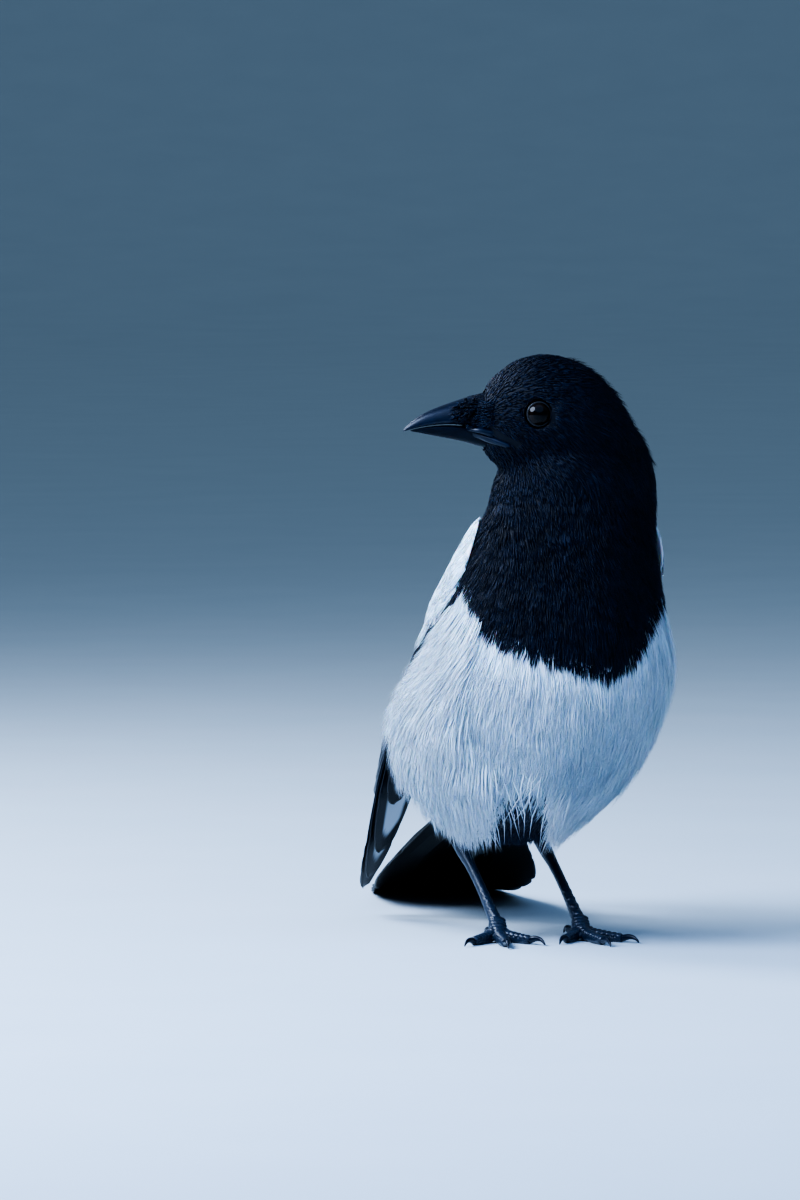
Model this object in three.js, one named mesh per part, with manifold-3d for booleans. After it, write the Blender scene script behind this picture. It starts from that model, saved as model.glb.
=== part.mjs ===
// A life-size Eurasian magpie, standing with its head turned to its right and its tail laid on the floor.
// Millimetres, +Z up. The bird faces -Y, its left is +X, and its soles and the tail's tip lie at z = 0.
import * as THREE from "three";
import { mergeVertices } from "three/addons/utils/BufferGeometryUtils.js";
import Module from "manifold-3d";

const wasm = await Module();
wasm.setup();

// Driving dimensions
const GAP = 0.3; // clear space between one sub-part and the next
const REACH = 700; // side of a cutting block, larger than the bird
const VANE_THICKNESS = 0.5;

// Trunk and neck as level slices. Each level gives the height, the middle's x, the widest place's y, the
// reach forward and back from there, and the half width.
const TRUNK_LEVELS = [
  { z: 34, middle: -6.5, widest: 22, front: 0, back: 0, half: 0 },
  { z: 36.5, middle: -6.5, widest: 22, front: 20, back: 22, half: 15 },
  { z: 43, middle: -6.9, widest: 20, front: 40, back: 42, half: 29.5 },
  { z: 54, middle: -7.8, widest: 14, front: 51, back: 54, half: 39.5 },
  { z: 65, middle: -7.7, widest: 8, front: 56, back: 60, half: 45 },
  { z: 76, middle: -6.8, widest: 2, front: 57, back: 62, half: 47.9 },
  { z: 86, middle: -4.9, widest: -4, front: 56, back: 61, half: 48.6 },
  { z: 97, middle: -2.2, widest: -9, front: 53.5, back: 57, half: 46.3 },
  { z: 108, middle: -0.9, widest: -13, front: 50.5, back: 51, half: 42.9 },
  { z: 122, middle: -0.4, widest: -17, front: 44.5, back: 44, half: 39.7 },
  { z: 130, middle: -0.2, widest: -19, front: 39, back: 39, half: 36.9 },
  { z: 145, middle: 1.6, widest: -21, front: 31, back: 31, half: 33.4 },
  { z: 156, middle: 3.8, widest: -21.5, front: 27, back: 28, half: 31.4 },
  { z: 163, middle: 5, widest: -21.5, front: 25.5, back: 25.5, half: 30.8 },
  { z: 170, middle: 4.8, widest: -22, front: 24, back: 24.5, half: 30 },
  { z: 178, middle: 6.8, widest: -22.5, front: 20, back: 21, half: 25.5 },
  { z: 186, middle: 8.6, widest: -23, front: 14, back: 15, half: 18.5 },
  { z: 193, middle: 10, widest: -23, front: 0, back: 0, half: 0 },
];
const TRUNK_AROUND = 32;
const TRUNK_RINGS = 22;

// The head, along the bill's axis. Forward and height are measured from the level of the eyes.
const HEAD_AT = new THREE.Vector3(-12.2, -24, 190.8);
const HEAD_TURN = THREE.MathUtils.degToRad(-95); // about +Z, from straight ahead to the bird's right
const HEAD_STATIONS = [
  { forward: 21, height: -3, tall: 0, half: 0 },
  { forward: 18.5, height: -2.7, tall: 10.2, half: 8.6 },
  { forward: 14, height: -2.5, tall: 15.8, half: 12 },
  { forward: 7, height: -1.6, tall: 20.4, half: 15.4 },
  { forward: 0, height: -1.2, tall: 22.4, half: 17.6 },
  { forward: -7, height: -1.6, tall: 23.4, half: 18.9 },
  { forward: -18, height: -4.2, tall: 23, half: 19.3 },
  { forward: -28, height: -8, tall: 19, half: 17.4 },
  { forward: -35.5, height: -12, tall: 12.6, half: 12.5 },
  { forward: -40.5, height: -15, tall: 0, half: 0 },
];
const EYE_RADIUS = 4.9;
const EYE_SIDE = 13.2; // from the head's middle to the centre of each eye
const LID = { radius: 4.7, thick: 1.0, side: 15.4 };

// The bill: one row per station, with the culmen, the line of the mouth, the lower edge and the half width.
const BILL_STATIONS = [
  { forward: 8, culmen: 9, mouth: -8.4, keel: -14, half: 9 },
  { forward: 18, culmen: 7, mouth: -5.6, keel: -12.2, half: 7.4 },
  { forward: 24, culmen: 5.5, mouth: -4.5, keel: -10.4, half: 6.1 },
  { forward: 29.5, culmen: 3.7, mouth: -4.1, keel: -9.2, half: 4.9 },
  { forward: 34.5, culmen: 1.9, mouth: -4.3, keel: -8.2, half: 3.7 },
  { forward: 39.6, culmen: -0.4, mouth: -5, keel: -7.2, half: 2.5 },
  { forward: 43.4, culmen: -3, mouth: -5.8, keel: -6.5, half: 1.5 },
  { forward: 46.2, culmen: -5.6, mouth: -6.7, keel: -6.6, half: 0.6 },
];
const LOWER_BILL_END = 43.6; // the hook of the upper bill passes the lower one
const LOWER_BILL_SHARE = 0.86; // its width beside that of the upper bill
const BRISTLES = { count: 4, length: 15, width: 4, from: 14.5, low: -1.4, high: 5.2, clear: 1.05 };

// Legs. The tarsus leans back from the foot to the heel.
const FEET_MIDDLE = -2.4;
const FOOT_SPREAD = 15.5;
const HEEL = { side: 15.5, shift: -4.5, back: 37, height: 33.5 };
const CLAW_SINK = 0.8; // how far a claw is set into the end of its toe
const ANKLE_HEIGHT = 6.5;
const ANKLE_BACK = 1;
const KNEE = { side: 17, shift: -5, back: 12, height: 62 };
const THIGH_RADII = [13, 13, 12, 9.5, 6.6, 4.2, 3];
const TARSUS_SHARES = [1.35, 1.25, 1, 0.94, 0.94, 1, 1.2]; // of the radius, from the heel down
const PAD_RADII = [2.2, 2.6, 3.1, 3.4, 2.8];
const CLAW_SHARES = [0.62, 0.58, 0.48, 0.38, 0.26, 0.1]; // of the toe's radius, from the root out
const ANKLE_CAP = 2.4; // how far the foot reaches up the leg from its joint
const TARSUS_RADIUS = 1.95;
const SOLE_SINK = 0.6; // how much of each rounded toe the flat of the sole takes
const FOOT_TURN = { left: THREE.MathUtils.degToRad(2), right: THREE.MathUtils.degToRad(-9) };
const TOES = [
  { name: "inner", angle: -34, length: 19, radius: 2.0, claw: 8, joints: 2 },
  { name: "middle", angle: 0, length: 27, radius: 2.2, claw: 9, joints: 3 },
  { name: "outer", angle: 31, length: 21, radius: 1.9, claw: 7.5, joints: 4 },
  { name: "hind", angle: 176, length: 14, radius: 2.2, claw: 11, joints: 1 },
];

// Wings. A folded wing lies on a curved sheet: along runs from the wrist to the tip, up is square to it.
const WING_EDGE = [
  { y: -31, z: 130, side: 29.5 },
  { y: 0, z: 102.6, side: 35.5 },
  { y: 30, z: 76.2, side: 35.5 },
  { y: 60, z: 49.7, side: 34.5 },
  { y: 105, z: 10, side: 33.5 },
];
const WING_LIFT = { left: THREE.MathUtils.degToRad(13), right: 0 }; // the left wing lies over the tail's side
const WING_BEND = [
  { along: -25, radius: 62 },
  { along: 0, radius: 60 },
  { along: 40, radius: 50 },
  { along: 80, radius: 42 },
  { along: 120, radius: 50 },
  { along: 200, radius: 80 },
];
const LEFT_BEND = { out: 2.5, until: 70 }; // the left wrist stands out a little further
const SHEET_ENDS = { before: { along: -30, side: 20 }, after: { along: 230, side: 32 } };
const ARM = { along: 36, up: 14, reach: 44, span: 21, thick: 5, out: 1 };
const PRIMARIES = {
  tips: [125, 157, 175, 184, 185, 179, 170, 161],
  root: { along: 48, up: 5, step: 1.9 },
  low: -2,
  step: 2.1,
  width: 14.5,
  out: -2.4,
  lap: 0.35,
};
const SECONDARIES = {
  count: 6,
  root: { along: 52, shift: 14, up: 8, step: 4.4 },
  low: 15,
  step: 5,
  nearTip: 140,
  farTip: 108,
  width: 18,
  out: 3.2,
};
const COVERTS = {
  count: 5,
  root: { along: 46, shift: 1.6, up: 3, share: 0.8 },
  low: 3,
  step: 6.6,
  rise: 2,
  length: 36,
  width: 14,
  out: 5.4,
};
const SHINGLE_TILT = 0.2; // rise of a vane across its width, so that each lies over the one below it
const SHOULDER_PAD = { along: 24, up: 22, reach: 33, span: 13, thick: 2.6, out: 5.4 };
const SCAPULARS = {
  counts: [5, 4],
  root: { along: 29, back: 20, bow: 14, fan: 18 },
  tip: { length: 35, bow: 2.4, fan: 23, narrow: 3 },
  up: 23,
  width: 11,
  out: 7.4,
};

// Tail: twelve feathers in six pairs, the middle pair longest and on top.
const TAIL_ROOT = { x: -6, y: 64 };
const TAIL_YAW = THREE.MathUtils.degToRad(9);
const TAIL_SLOPE = { root: THREE.MathUtils.degToRad(24), tip: THREE.MathUtils.degToRad(3) };
const TAIL_LENGTHS = [238, 221, 200, 176, 152, 128];
const TAIL_SIDES = [3.5, 12, 14.6, 17.2, 19.6, 21.5];
const TAIL_WIDTHS = [26, 22, 21, 20, 18.5, 17];
const TAIL_LAYER = 0.95; // from one feather down to the next
const TAIL_SINK = 0.3; // how much of the longest tips the floor's flat takes
const TAIL_BURIED = 6; // how far a tail feather's root lies inside the rump
const TAIL_CROWN = 0.008; // the closed tail is slightly arched across
const TAIL_FLAT = { from: 120, to: 230 }; // where the arch flattens out along the tail
const TAIL_SPREAD = { root: 0.25, until: 90 }; // the feathers run side by side from here on
const TAIL_STEPS = 5;

// The planes that part the coat: the black breast from the white belly, and the back from the flank.
const BIB_PLANE = { point: [8, -62, 95.5], normal: [0.08, -0.63, 0.77] };
const FLANK_PLANE = { point: [0, -27, 134.5], normal: [0, 0.662, 0.75] };
const NECK_LEVEL = 147;
const HEAD_PLANE = { point: [0, -22, 168], normal: [-0.1, 0, 0.995] };
const RUMP_PLANE = { point: [-6, 60, 58], normal: [0.13, 0.94, -0.33] };

// A smooth value between named stations. Squared ones close to a round end where they reach zero.
function curveOf(stations, key, value, squared = false) {
  const rows = [...stations].sort((a, b) => a[key] - b[key]);
  const places = new Float32Array(rows.map((row) => row[key]));
  const values = new Float32Array(rows.map((row) => (squared ? row[value] ** 2 : row[value])));
  const smooth = squared
    ? new THREE.LinearInterpolant(places, values, 1, new Float32Array(1))
    : new THREE.CubicInterpolant(places, values, 1, new Float32Array(1));
  return (at) => {
    const clamped = THREE.MathUtils.clamp(at, places[0], places[places.length - 1]);
    const found = smooth.evaluate(clamped)[0];
    return squared ? Math.sqrt(Math.max(found, 0)) : found;
  };
}

// Solids from three.js geometry, and back
function solidOf(geometry) {
  const bare = geometry.clone();
  for (const name of Object.keys(bare.attributes)) if (name !== "position") bare.deleteAttribute(name);
  const merged = mergeVertices(bare, 1e-4);
  const solid = new wasm.Manifold(
    new wasm.Mesh({
      numProp: 3,
      vertProperties: new Float32Array(merged.attributes.position.array),
      triVerts: new Uint32Array(merged.index.array),
    }),
  );
  if (solid.volume() >= 0) return solid;
  const turned = merged.index.array;
  for (let i = 0; i < turned.length; i += 3) [turned[i + 1], turned[i + 2]] = [turned[i + 2], turned[i + 1]];
  return new wasm.Manifold(
    new wasm.Mesh({
      numProp: 3,
      vertProperties: new Float32Array(merged.attributes.position.array),
      triVerts: new Uint32Array(turned),
    }),
  );
}

function geometryOf(solid) {
  const mesh = solid.getMesh();
  const places = new Float32Array(mesh.numVert * 3);
  for (let i = 0; i < mesh.numVert; i++)
    places.set(mesh.vertProperties.subarray(i * mesh.numProp, i * mesh.numProp + 3), i * 3);
  const geometry = new THREE.BufferGeometry();
  geometry.setAttribute("position", new THREE.BufferAttribute(places, 3));
  geometry.setIndex(new THREE.BufferAttribute(new Uint32Array(mesh.triVerts), 1));
  geometry.computeVertexNormals();
  return geometry;
}

const largest = (solid) =>
  solid.decompose().reduce((best, piece) => (piece.volume() > best.volume() ? piece : best));

const joined = (solids) => solids.reduce((whole, piece) => whole.add(piece));

// The block of space on the far side of a plane, along its normal, kept half a gap away from it.
function beyond(plane, clearance = GAP / 2) {
  const normal = new THREE.Vector3(...plane.normal).normalize();
  const block = new THREE.BoxGeometry(REACH, REACH, REACH);
  block.translate(0, 0, REACH / 2 + clearance);
  block.applyQuaternion(new THREE.Quaternion().setFromUnitVectors(new THREE.Vector3(0, 0, 1), normal));
  block.translate(...plane.point);
  return solidOf(block);
}
const opposite = (plane) => ({ point: plane.point, normal: plane.normal.map((n) => -n) });
const level = (z) => ({ point: [0, 0, z], normal: [0, 0, 1] });

// A sphere whose rings and spokes are moved to a shape: place(t, angle), with t from 0 to 1 between the poles.
function swollen(place, around, rings) {
  const geometry = new THREE.SphereGeometry(1, around, rings);
  const at = geometry.attributes.position;
  const uv = geometry.attributes.uv;
  for (let i = 0; i < at.count; i++) {
    const row = Math.floor(i / (around + 1));
    const column = i % (around + 1);
    const t = (1 - Math.cos((Math.PI * row) / rings)) / 2;
    const angle = (2 * Math.PI * (column % around)) / around;
    const found = place(t, angle);
    at.setXYZ(i, found.x, found.y, found.z);
    uv.setXY(i, 0, 0);
  }
  return solidOf(geometry);
}

// Trunk and neck
const trunk = {
  middle: curveOf(TRUNK_LEVELS, "z", "middle"),
  widest: curveOf(TRUNK_LEVELS, "z", "widest"),
  front: curveOf(TRUNK_LEVELS, "z", "front", true),
  back: curveOf(TRUNK_LEVELS, "z", "back", true),
  half: curveOf(TRUNK_LEVELS, "z", "half", true),
};
const TRUNK_TOP = TRUNK_LEVELS[TRUNK_LEVELS.length - 1].z;
const TRUNK_FOOT = TRUNK_LEVELS[0].z;

function trunkSolid(swell = 0) {
  return swollen(
    (t, angle) => {
      const z = THREE.MathUtils.lerp(TRUNK_FOOT, TRUNK_TOP, t);
      const grow = t > 0 && t < 1 ? swell : 0;
      const ahead = Math.cos(angle);
      const reach = ahead > 0 ? trunk.front(z) : trunk.back(z);
      return new THREE.Vector3(
        trunk.middle(z) + (trunk.half(z) + grow) * Math.sin(angle),
        trunk.widest(z) - (reach + grow) * ahead,
        z + swell * (2 * t - 1),
      );
    },
    TRUNK_AROUND,
    TRUNK_RINGS,
  );
}

// The rump, from inside the trunk to the tail's root
const RUMP_STATIONS = [
  { y: 8, x: -6.5, z: 74, tall: 0, half: 0 },
  { y: 18, x: -6.5, z: 72, tall: 22, half: 24 },
  { y: 40, x: -6.5, z: 66, tall: 24.5, half: 27 },
  { y: 56, x: -6.4, z: 60, tall: 19, half: 23 },
  { y: 72, x: -4.8, z: 54, tall: 12.8, half: 17 },
  { y: 90, x: -1.9, z: 46.5, tall: 7.6, half: 13 },
  { y: 108, x: 0.9, z: 40, tall: 4.2, half: 9.5 },
  { y: 124, x: 3.5, z: 35, tall: 0, half: 0 },
];
function rumpSolid(swell = 0) {
  const first = RUMP_STATIONS[0];
  const last = RUMP_STATIONS[RUMP_STATIONS.length - 1];
  const x = curveOf(RUMP_STATIONS, "y", "x");
  const z = curveOf(RUMP_STATIONS, "y", "z");
  const tall = curveOf(RUMP_STATIONS, "y", "tall", true);
  const half = curveOf(RUMP_STATIONS, "y", "half", true);
  return swollen(
    (t, angle) => {
      const y = THREE.MathUtils.lerp(first.y, last.y, t);
      const grow = t > 0 && t < 1 ? swell : 0;
      return new THREE.Vector3(
        x(y) + (half(y) + grow) * Math.sin(angle),
        y + swell * (2 * t - 1),
        z(y) + (tall(y) + grow) * Math.cos(angle),
      );
    },
    24,
    12,
  );
}

// Head axes: forward along the bill, side to the bird's left, and up
const ahead = new THREE.Vector3(0, -1, 0).applyAxisAngle(new THREE.Vector3(0, 0, 1), HEAD_TURN);
const leftward = new THREE.Vector3(1, 0, 0).applyAxisAngle(new THREE.Vector3(0, 0, 1), HEAD_TURN);
const headPoint = (forward, side, height) =>
  HEAD_AT.clone()
    .addScaledVector(ahead, forward)
    .addScaledVector(leftward, side)
    .add(new THREE.Vector3(0, 0, height));

function headSolid() {
  const height = curveOf(HEAD_STATIONS, "forward", "height");
  const tall = curveOf(HEAD_STATIONS, "forward", "tall", true);
  const half = curveOf(HEAD_STATIONS, "forward", "half", true);
  const front = HEAD_STATIONS[0].forward;
  const back = HEAD_STATIONS[HEAD_STATIONS.length - 1].forward;
  return swollen(
    (t, angle) => {
      const forward = THREE.MathUtils.lerp(back, front, t);
      const side = half(forward) * Math.sin(angle);
      return headPoint(forward, side, height(forward) + tall(forward) * Math.cos(angle));
    },
    28,
    18,
  );
}

const eyeCentre = (side) => headPoint(0, side * EYE_SIDE, 0);
function ball(centre, radius, around, rings) {
  const geometry = new THREE.SphereGeometry(radius, around, rings);
  geometry.translate(centre.x, centre.y, centre.z);
  return solidOf(geometry);
}
function lidRing(side) {
  const ring = new THREE.TorusGeometry(LID.radius, LID.thick, 6, 18);
  ring.applyQuaternion(new THREE.Quaternion().setFromUnitVectors(new THREE.Vector3(0, 0, 1), leftward));
  const centre = headPoint(0, side * LID.side, 0);
  ring.translate(centre.x, centre.y, centre.z);
  return solidOf(ring);
}

// A closed shell lofted through rings of points. Every ring has the same number of points.
function lofted(rings) {
  const around = rings[0].length;
  const places = rings.flat().flatMap((p) => [p.x, p.y, p.z]);
  const index = [];
  for (let i = 0; i < rings.length - 1; i++)
    for (let j = 0; j < around; j++) {
      const next = (j + 1) % around;
      const a = i * around + j;
      const b = i * around + next;
      const c = (i + 1) * around + next;
      const d = (i + 1) * around + j;
      index.push(a, b, c, a, c, d);
    }
  const last = (rings.length - 1) * around;
  for (let j = 1; j < around - 1; j++) {
    index.push(0, j + 1, j);
    index.push(last, last + j, last + j + 1);
  }
  const geometry = new THREE.BufferGeometry();
  geometry.setAttribute("position", new THREE.Float32BufferAttribute(places, 3));
  geometry.setIndex(index);
  return solidOf(geometry);
}

// The bill. Each half is a loft whose section is an arch standing on the line of the mouth.
const bill = {
  culmen: curveOf(BILL_STATIONS, "forward", "culmen"),
  mouth: curveOf(BILL_STATIONS, "forward", "mouth"),
  keel: curveOf(BILL_STATIONS, "forward", "keel"),
  half: curveOf(BILL_STATIONS, "forward", "half"),
};
const BILL_START = BILL_STATIONS[0].forward;
const BILL_TIP = BILL_STATIONS[BILL_STATIONS.length - 1].forward;
const BILL_RINGS = 13;
const ARCH_POINTS = 12;
const ARCH_SIDE = 0.85; // powers that square the arch a little
const ARCH_RISE = 0.9;

function billHalf(upper, swell = 0) {
  const end = upper ? BILL_TIP : LOWER_BILL_END;
  const rings = [];
  for (let i = 0; i <= BILL_RINGS; i++) {
    const forward = THREE.MathUtils.lerp(BILL_START - swell, end + swell, i / BILL_RINGS);
    const from = bill.mouth(forward) + (upper ? GAP / 2 - swell : swell - GAP / 2);
    const to = upper ? bill.culmen(forward) + swell : bill.keel(forward) - swell;
    const half = bill.half(forward) * (upper ? 1 : LOWER_BILL_SHARE) + swell;
    const ring = [];
    for (let j = 0; j <= ARCH_POINTS; j++) {
      const angle = (Math.PI * j) / ARCH_POINTS;
      const side = Math.sign(Math.cos(angle)) * Math.abs(Math.cos(angle)) ** ARCH_SIDE;
      const rise = Math.sin(angle) ** ARCH_RISE;
      ring.push(headPoint(forward, half * side, THREE.MathUtils.lerp(from, to, rise)));
    }
    rings.push(ring);
  }
  return lofted(rings);
}

// A feather's vane. place(along, across, out) lays it on its sheet. Both faces are split alike.
const VANE_STEPS = 4;
const OUTLINE = { root: 0.4, full: 0.3, fromTip: 0.7, tip: 0.62 };
function vaneOutline(t) {
  const { root, full, fromTip, tip } = OUTLINE;
  const widening = root + (1 - root) * Math.min(1, t / full);
  return widening - tip * Math.max(0, (t - fromTip) / (1 - fromTip)) ** 2;
}

function vane(length, width, place, steps = VANE_STEPS, swell = 0) {
  const places = [];
  for (let i = 0; i <= steps; i++) {
    const t = i === steps ? 1 : (i / steps) ** 0.85;
    const half = (width / 2) * vaneOutline(t) + swell;
    const thick = (VANE_THICKNESS / 2) * (i === steps ? 0.7 : 1) + swell;
    for (const face of [1, -1])
      for (const edge of [-1, 1]) {
        const point = place(length * t + (i === steps ? swell : 0), half * edge, face * thick);
        places.push(point.x, point.y, point.z);
      }
  }
  const index = [];
  const quad = (a, b, c, d) => index.push(a, b, c, a, c, d);
  for (let i = 0; i < steps; i++) {
    const here = i * 4;
    const next = here + 4;
    quad(here, here + 1, next + 1, next);
    index.push(here + 2, next + 3, here + 3);
    index.push(here + 2, next + 2, next + 3);
    quad(here + 1, here + 3, next + 3, next + 1);
    quad(here + 2, here, next, next + 2);
  }
  const last = steps * 4;
  quad(0, 2, 3, 1);
  quad(last, last + 1, last + 3, last + 2);
  const geometry = new THREE.BufferGeometry();
  geometry.setAttribute("position", new THREE.Float32BufferAttribute(places, 3));
  geometry.setIndex(index);
  return solidOf(geometry);
}

// The sheet that a folded wing lies on
const wrist = WING_EDGE[0];
const wingTip = WING_EDGE[WING_EDGE.length - 1];
const wingLine = (side) =>
  new THREE.Vector2(wingTip.y - wrist.y, wingTip.z - wrist.z)
    .normalize()
    .rotateAround(new THREE.Vector2(), side > 0 ? WING_LIFT.left : WING_LIFT.right);
const wingRadius = curveOf(WING_BEND, "along", "radius");
const wingEdge = (() => {
  const rows = WING_EDGE.map(({ y, z, side }) => ({ along: Math.hypot(y - wrist.y, z - wrist.z), side }));
  return curveOf([SHEET_ENDS.before, ...rows, SHEET_ENDS.after], "along", "side");
})();
function wingSide(side, along) {
  const bend = side > 0 ? 1 - THREE.MathUtils.smoothstep(along, 0, LEFT_BEND.until) : 0;
  return wingEdge(along) + LEFT_BEND.out * bend;
}

function wingPoint(side, along, up, out) {
  const line = wingLine(side);
  const radius = wingRadius(along);
  const angle = up / radius;
  const inward = radius * (Math.cos(angle) - 1) + out * Math.cos(angle);
  const rise = (radius + out) * Math.sin(angle);
  const y = wrist.y + along * line.x;
  const z = wrist.z + along * line.y;
  const x = trunk.middle(z) + side * (wingSide(side, along) + inward);
  return new THREE.Vector3(x, y - rise * line.y, z + rise * line.x);
}

// A vane between two places on the wing's sheet, given as [along, up]
function wingVane(side, root, tip, width, out, steps = VANE_STEPS, swell = 0) {
  const run = new THREE.Vector2(tip[0] - root[0], tip[1] - root[1]);
  const length = run.length();
  run.normalize();
  const place = (along, across, thick) =>
    wingPoint(
      side,
      root[0] + run.x * along - run.y * across,
      root[1] + run.y * along + run.x * across,
      out - SHINGLE_TILT * across + thick,
    );
  return vane(length, width, place, steps, swell);
}

// A lens on the wing's sheet: the fleshy arm, or the pad that the shoulder feathers grow from
function wingLens(side, { along, up, reach, span, thick, out }, swell = 0) {
  const place = (t, angle) => {
    const turn = Math.PI * t;
    const round = Math.sin(turn);
    const grow = round > 1e-6 ? swell : 0;
    return wingPoint(
      side,
      along - (reach + swell) * Math.cos(turn),
      up + (span * round + grow) * Math.cos(angle),
      out + (thick * round + grow) * Math.sin(angle),
    );
  };
  return swollen(place, 12, 8);
}

function wingSolid(side) {
  const pieces = [wingLens(side, ARM)];
  PRIMARIES.tips.forEach((reach, i) => {
    const { root, low, step, width, out, lap } = PRIMARIES;
    const from = [root.along + i, root.up + root.step * i];
    pieces.push(wingVane(side, from, [reach, low + step * i], width, out + lap * i));
  });
  for (let i = 0; i < SECONDARIES.count; i++) {
    const { root, low, step, nearTip, farTip, width, out } = SECONDARIES;
    const share = i / (SECONDARIES.count - 1);
    const from = [root.along - root.shift * share, root.up + root.step * i];
    const tip = [THREE.MathUtils.lerp(nearTip, farTip, share), low + step * i];
    pieces.push(wingVane(side, from, tip, width, out, 3));
  }
  for (let i = 0; i < COVERTS.count; i++) {
    const { root, low, step, rise, length, width, out } = COVERTS;
    const up = low + step * i;
    const from = [root.along - root.shift * i, root.up + root.share * up];
    pieces.push(wingVane(side, from, [from[0] + length, up + rise], width, out, 2));
  }
  return joined(pieces);
}

// White shoulder feathers in rows over the folded wing
function scapularSolid(side, swell = 0) {
  const { counts, root, tip, up, width, out } = SCAPULARS;
  const pieces = [wingLens(side, SHOULDER_PAD, swell)];
  counts.forEach((count, row) => {
    for (let i = 0; i < count; i++) {
      const share = i / (count - 1) - 0.5;
      const start = root.along - root.back * row;
      const bow = root.bow * share * share;
      const from = [start - bow, up + root.fan * share];
      const to = [start + tip.length - tip.bow * bow, up + 1 + share * (tip.fan - tip.narrow * row)];
      pieces.push(wingVane(side, from, to, width, out + row, 2, swell));
    }
  });
  return joined(pieces);
}

// The tail's middle line, in side view: it leaves the rump steeply and flattens onto the floor
const TAIL_POINTS = 60;
const tailLine = (() => {
  const reach = TAIL_LENGTHS[0];
  const step = reach / TAIL_POINTS;
  const before = -20;
  const { root, tip } = TAIL_SLOPE;
  const rows = [{ along: before, run: before * Math.cos(root), drop: before * Math.sin(root) }];
  let run = 0;
  let drop = 0;
  for (let i = 0; i <= TAIL_POINTS; i++) {
    rows.push({ along: i * step, run, drop });
    const slope = THREE.MathUtils.lerp(root, tip, (i + 0.5) / TAIL_POINTS);
    run += step * Math.cos(slope);
    drop += step * Math.sin(slope);
  }
  const { drop: fall } = rows[rows.length - 1];
  return { run: curveOf(rows, "along", "run"), drop: curveOf(rows, "along", "drop"), fall };
})();
const TAIL_TOP = tailLine.fall + VANE_THICKNESS / 2 - TAIL_SINK;

function tailPoint(along, side, down) {
  const run = tailLine.run(along);
  return new THREE.Vector3(
    TAIL_ROOT.x + run * Math.sin(TAIL_YAW) + side * Math.cos(TAIL_YAW),
    TAIL_ROOT.y + run * Math.cos(TAIL_YAW) - side * Math.sin(TAIL_YAW),
    TAIL_TOP - tailLine.drop(along) - down,
  );
}

function tailVane(side, pair) {
  const layer = pair === 0 ? (side > 0 ? 0 : 1) : pair + 1;
  const place = (along, across, thick) => {
    const spread = THREE.MathUtils.smoothstep(along, 0, TAIL_SPREAD.until);
    const over = side * TAIL_SIDES[pair] * THREE.MathUtils.lerp(TAIL_SPREAD.root, 1, spread) + across;
    const arch = TAIL_CROWN * over * over * (1 - THREE.MathUtils.smoothstep(along, TAIL_FLAT.from, TAIL_FLAT.to));
    return tailPoint(along + TAIL_BURIED, over, layer * TAIL_LAYER + arch - thick);
  };
  return vane(TAIL_LENGTHS[pair] - TAIL_BURIED, TAIL_WIDTHS[pair], place, TAIL_STEPS);
}

function tailSolid() {
  const pieces = [joined([trunkSolid(), rumpSolid()]).intersect(beyond(RUMP_PLANE))];
  for (const side of [-1, 1]) TAIL_LENGTHS.forEach((_, pair) => pieces.push(tailVane(side, pair)));
  return joined(pieces).intersect(beyond(level(0), 0));
}

// Legs and feet
function tube(points, radii, around = 8, flatten = 1) {
  const curve = new THREE.CatmullRomCurve3(points);
  const steps = radii.length - 1;
  const rings = radii.map((radius, i) => {
    const t = i / steps;
    const at = curve.getPoint(t);
    const along = curve.getTangent(t).normalize();
    const side = new THREE.Vector3().crossVectors(along, new THREE.Vector3(0, 0, 1));
    if (side.lengthSq() < 1e-3) side.set(1, 0, 0);
    side.normalize();
    const up = new THREE.Vector3().crossVectors(side, along).normalize();
    return Array.from({ length: around }, (_, j) => {
      const angle = (2 * Math.PI * (j + 0.5)) / around;
      return at
        .clone()
        .addScaledVector(side, radius * Math.cos(angle))
        .addScaledVector(up, radius * flatten * Math.sin(angle));
    });
  });
  return lofted(rings);
}

const footX = (side) => FEET_MIDDLE + side * FOOT_SPREAD;
const heelPoint = (side) =>
  new THREE.Vector3(FEET_MIDDLE + side * HEEL.side + HEEL.shift, HEEL.back, HEEL.height);
const anklePoint = (side) => new THREE.Vector3(footX(side), ANKLE_BACK, ANKLE_HEIGHT);

function thighSolid(side, swell = 0) {
  const heel = heelPoint(side).add(new THREE.Vector3(0, 0.6 + swell, 0.9 - swell));
  const knee = new THREE.Vector3(FEET_MIDDLE + side * KNEE.side + KNEE.shift, KNEE.back, KNEE.height);
  const middle = knee.clone().lerp(heel, 0.55).add(new THREE.Vector3(0, 3, 1));
  const radii = THIGH_RADII.map((radius) => radius + swell);
  return tube([knee, middle, heel], radii, 12);
}

function tarsusSolid(side, swell = 0) {
  const heel = heelPoint(side);
  const ankle = anklePoint(side);
  const run = new THREE.Vector3().subVectors(ankle, heel);
  const start = heel.clone();
  const end = ankle.clone().addScaledVector(run.normalize(), swell - ANKLE_CAP - GAP);
  const bow = start.clone().lerp(end, 0.5).add(new THREE.Vector3(0, -0.7, 0.7));
  const radii = TARSUS_SHARES.map((share) => share * TARSUS_RADIUS + swell);
  return tube([start, bow, end], radii, 10, 1.15);
}

// One toe, from the foot's middle out to the root of its claw, with a swelling at each joint
function toeFrame(side, toe) {
  const turn = (side > 0 ? FOOT_TURN.left : FOOT_TURN.right) + side * THREE.MathUtils.degToRad(toe.angle);
  const out = new THREE.Vector3(0, -1, 0).applyAxisAngle(new THREE.Vector3(0, 0, 1), turn);
  return { out, start: new THREE.Vector3(footX(side), 0, 0) };
}

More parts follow.
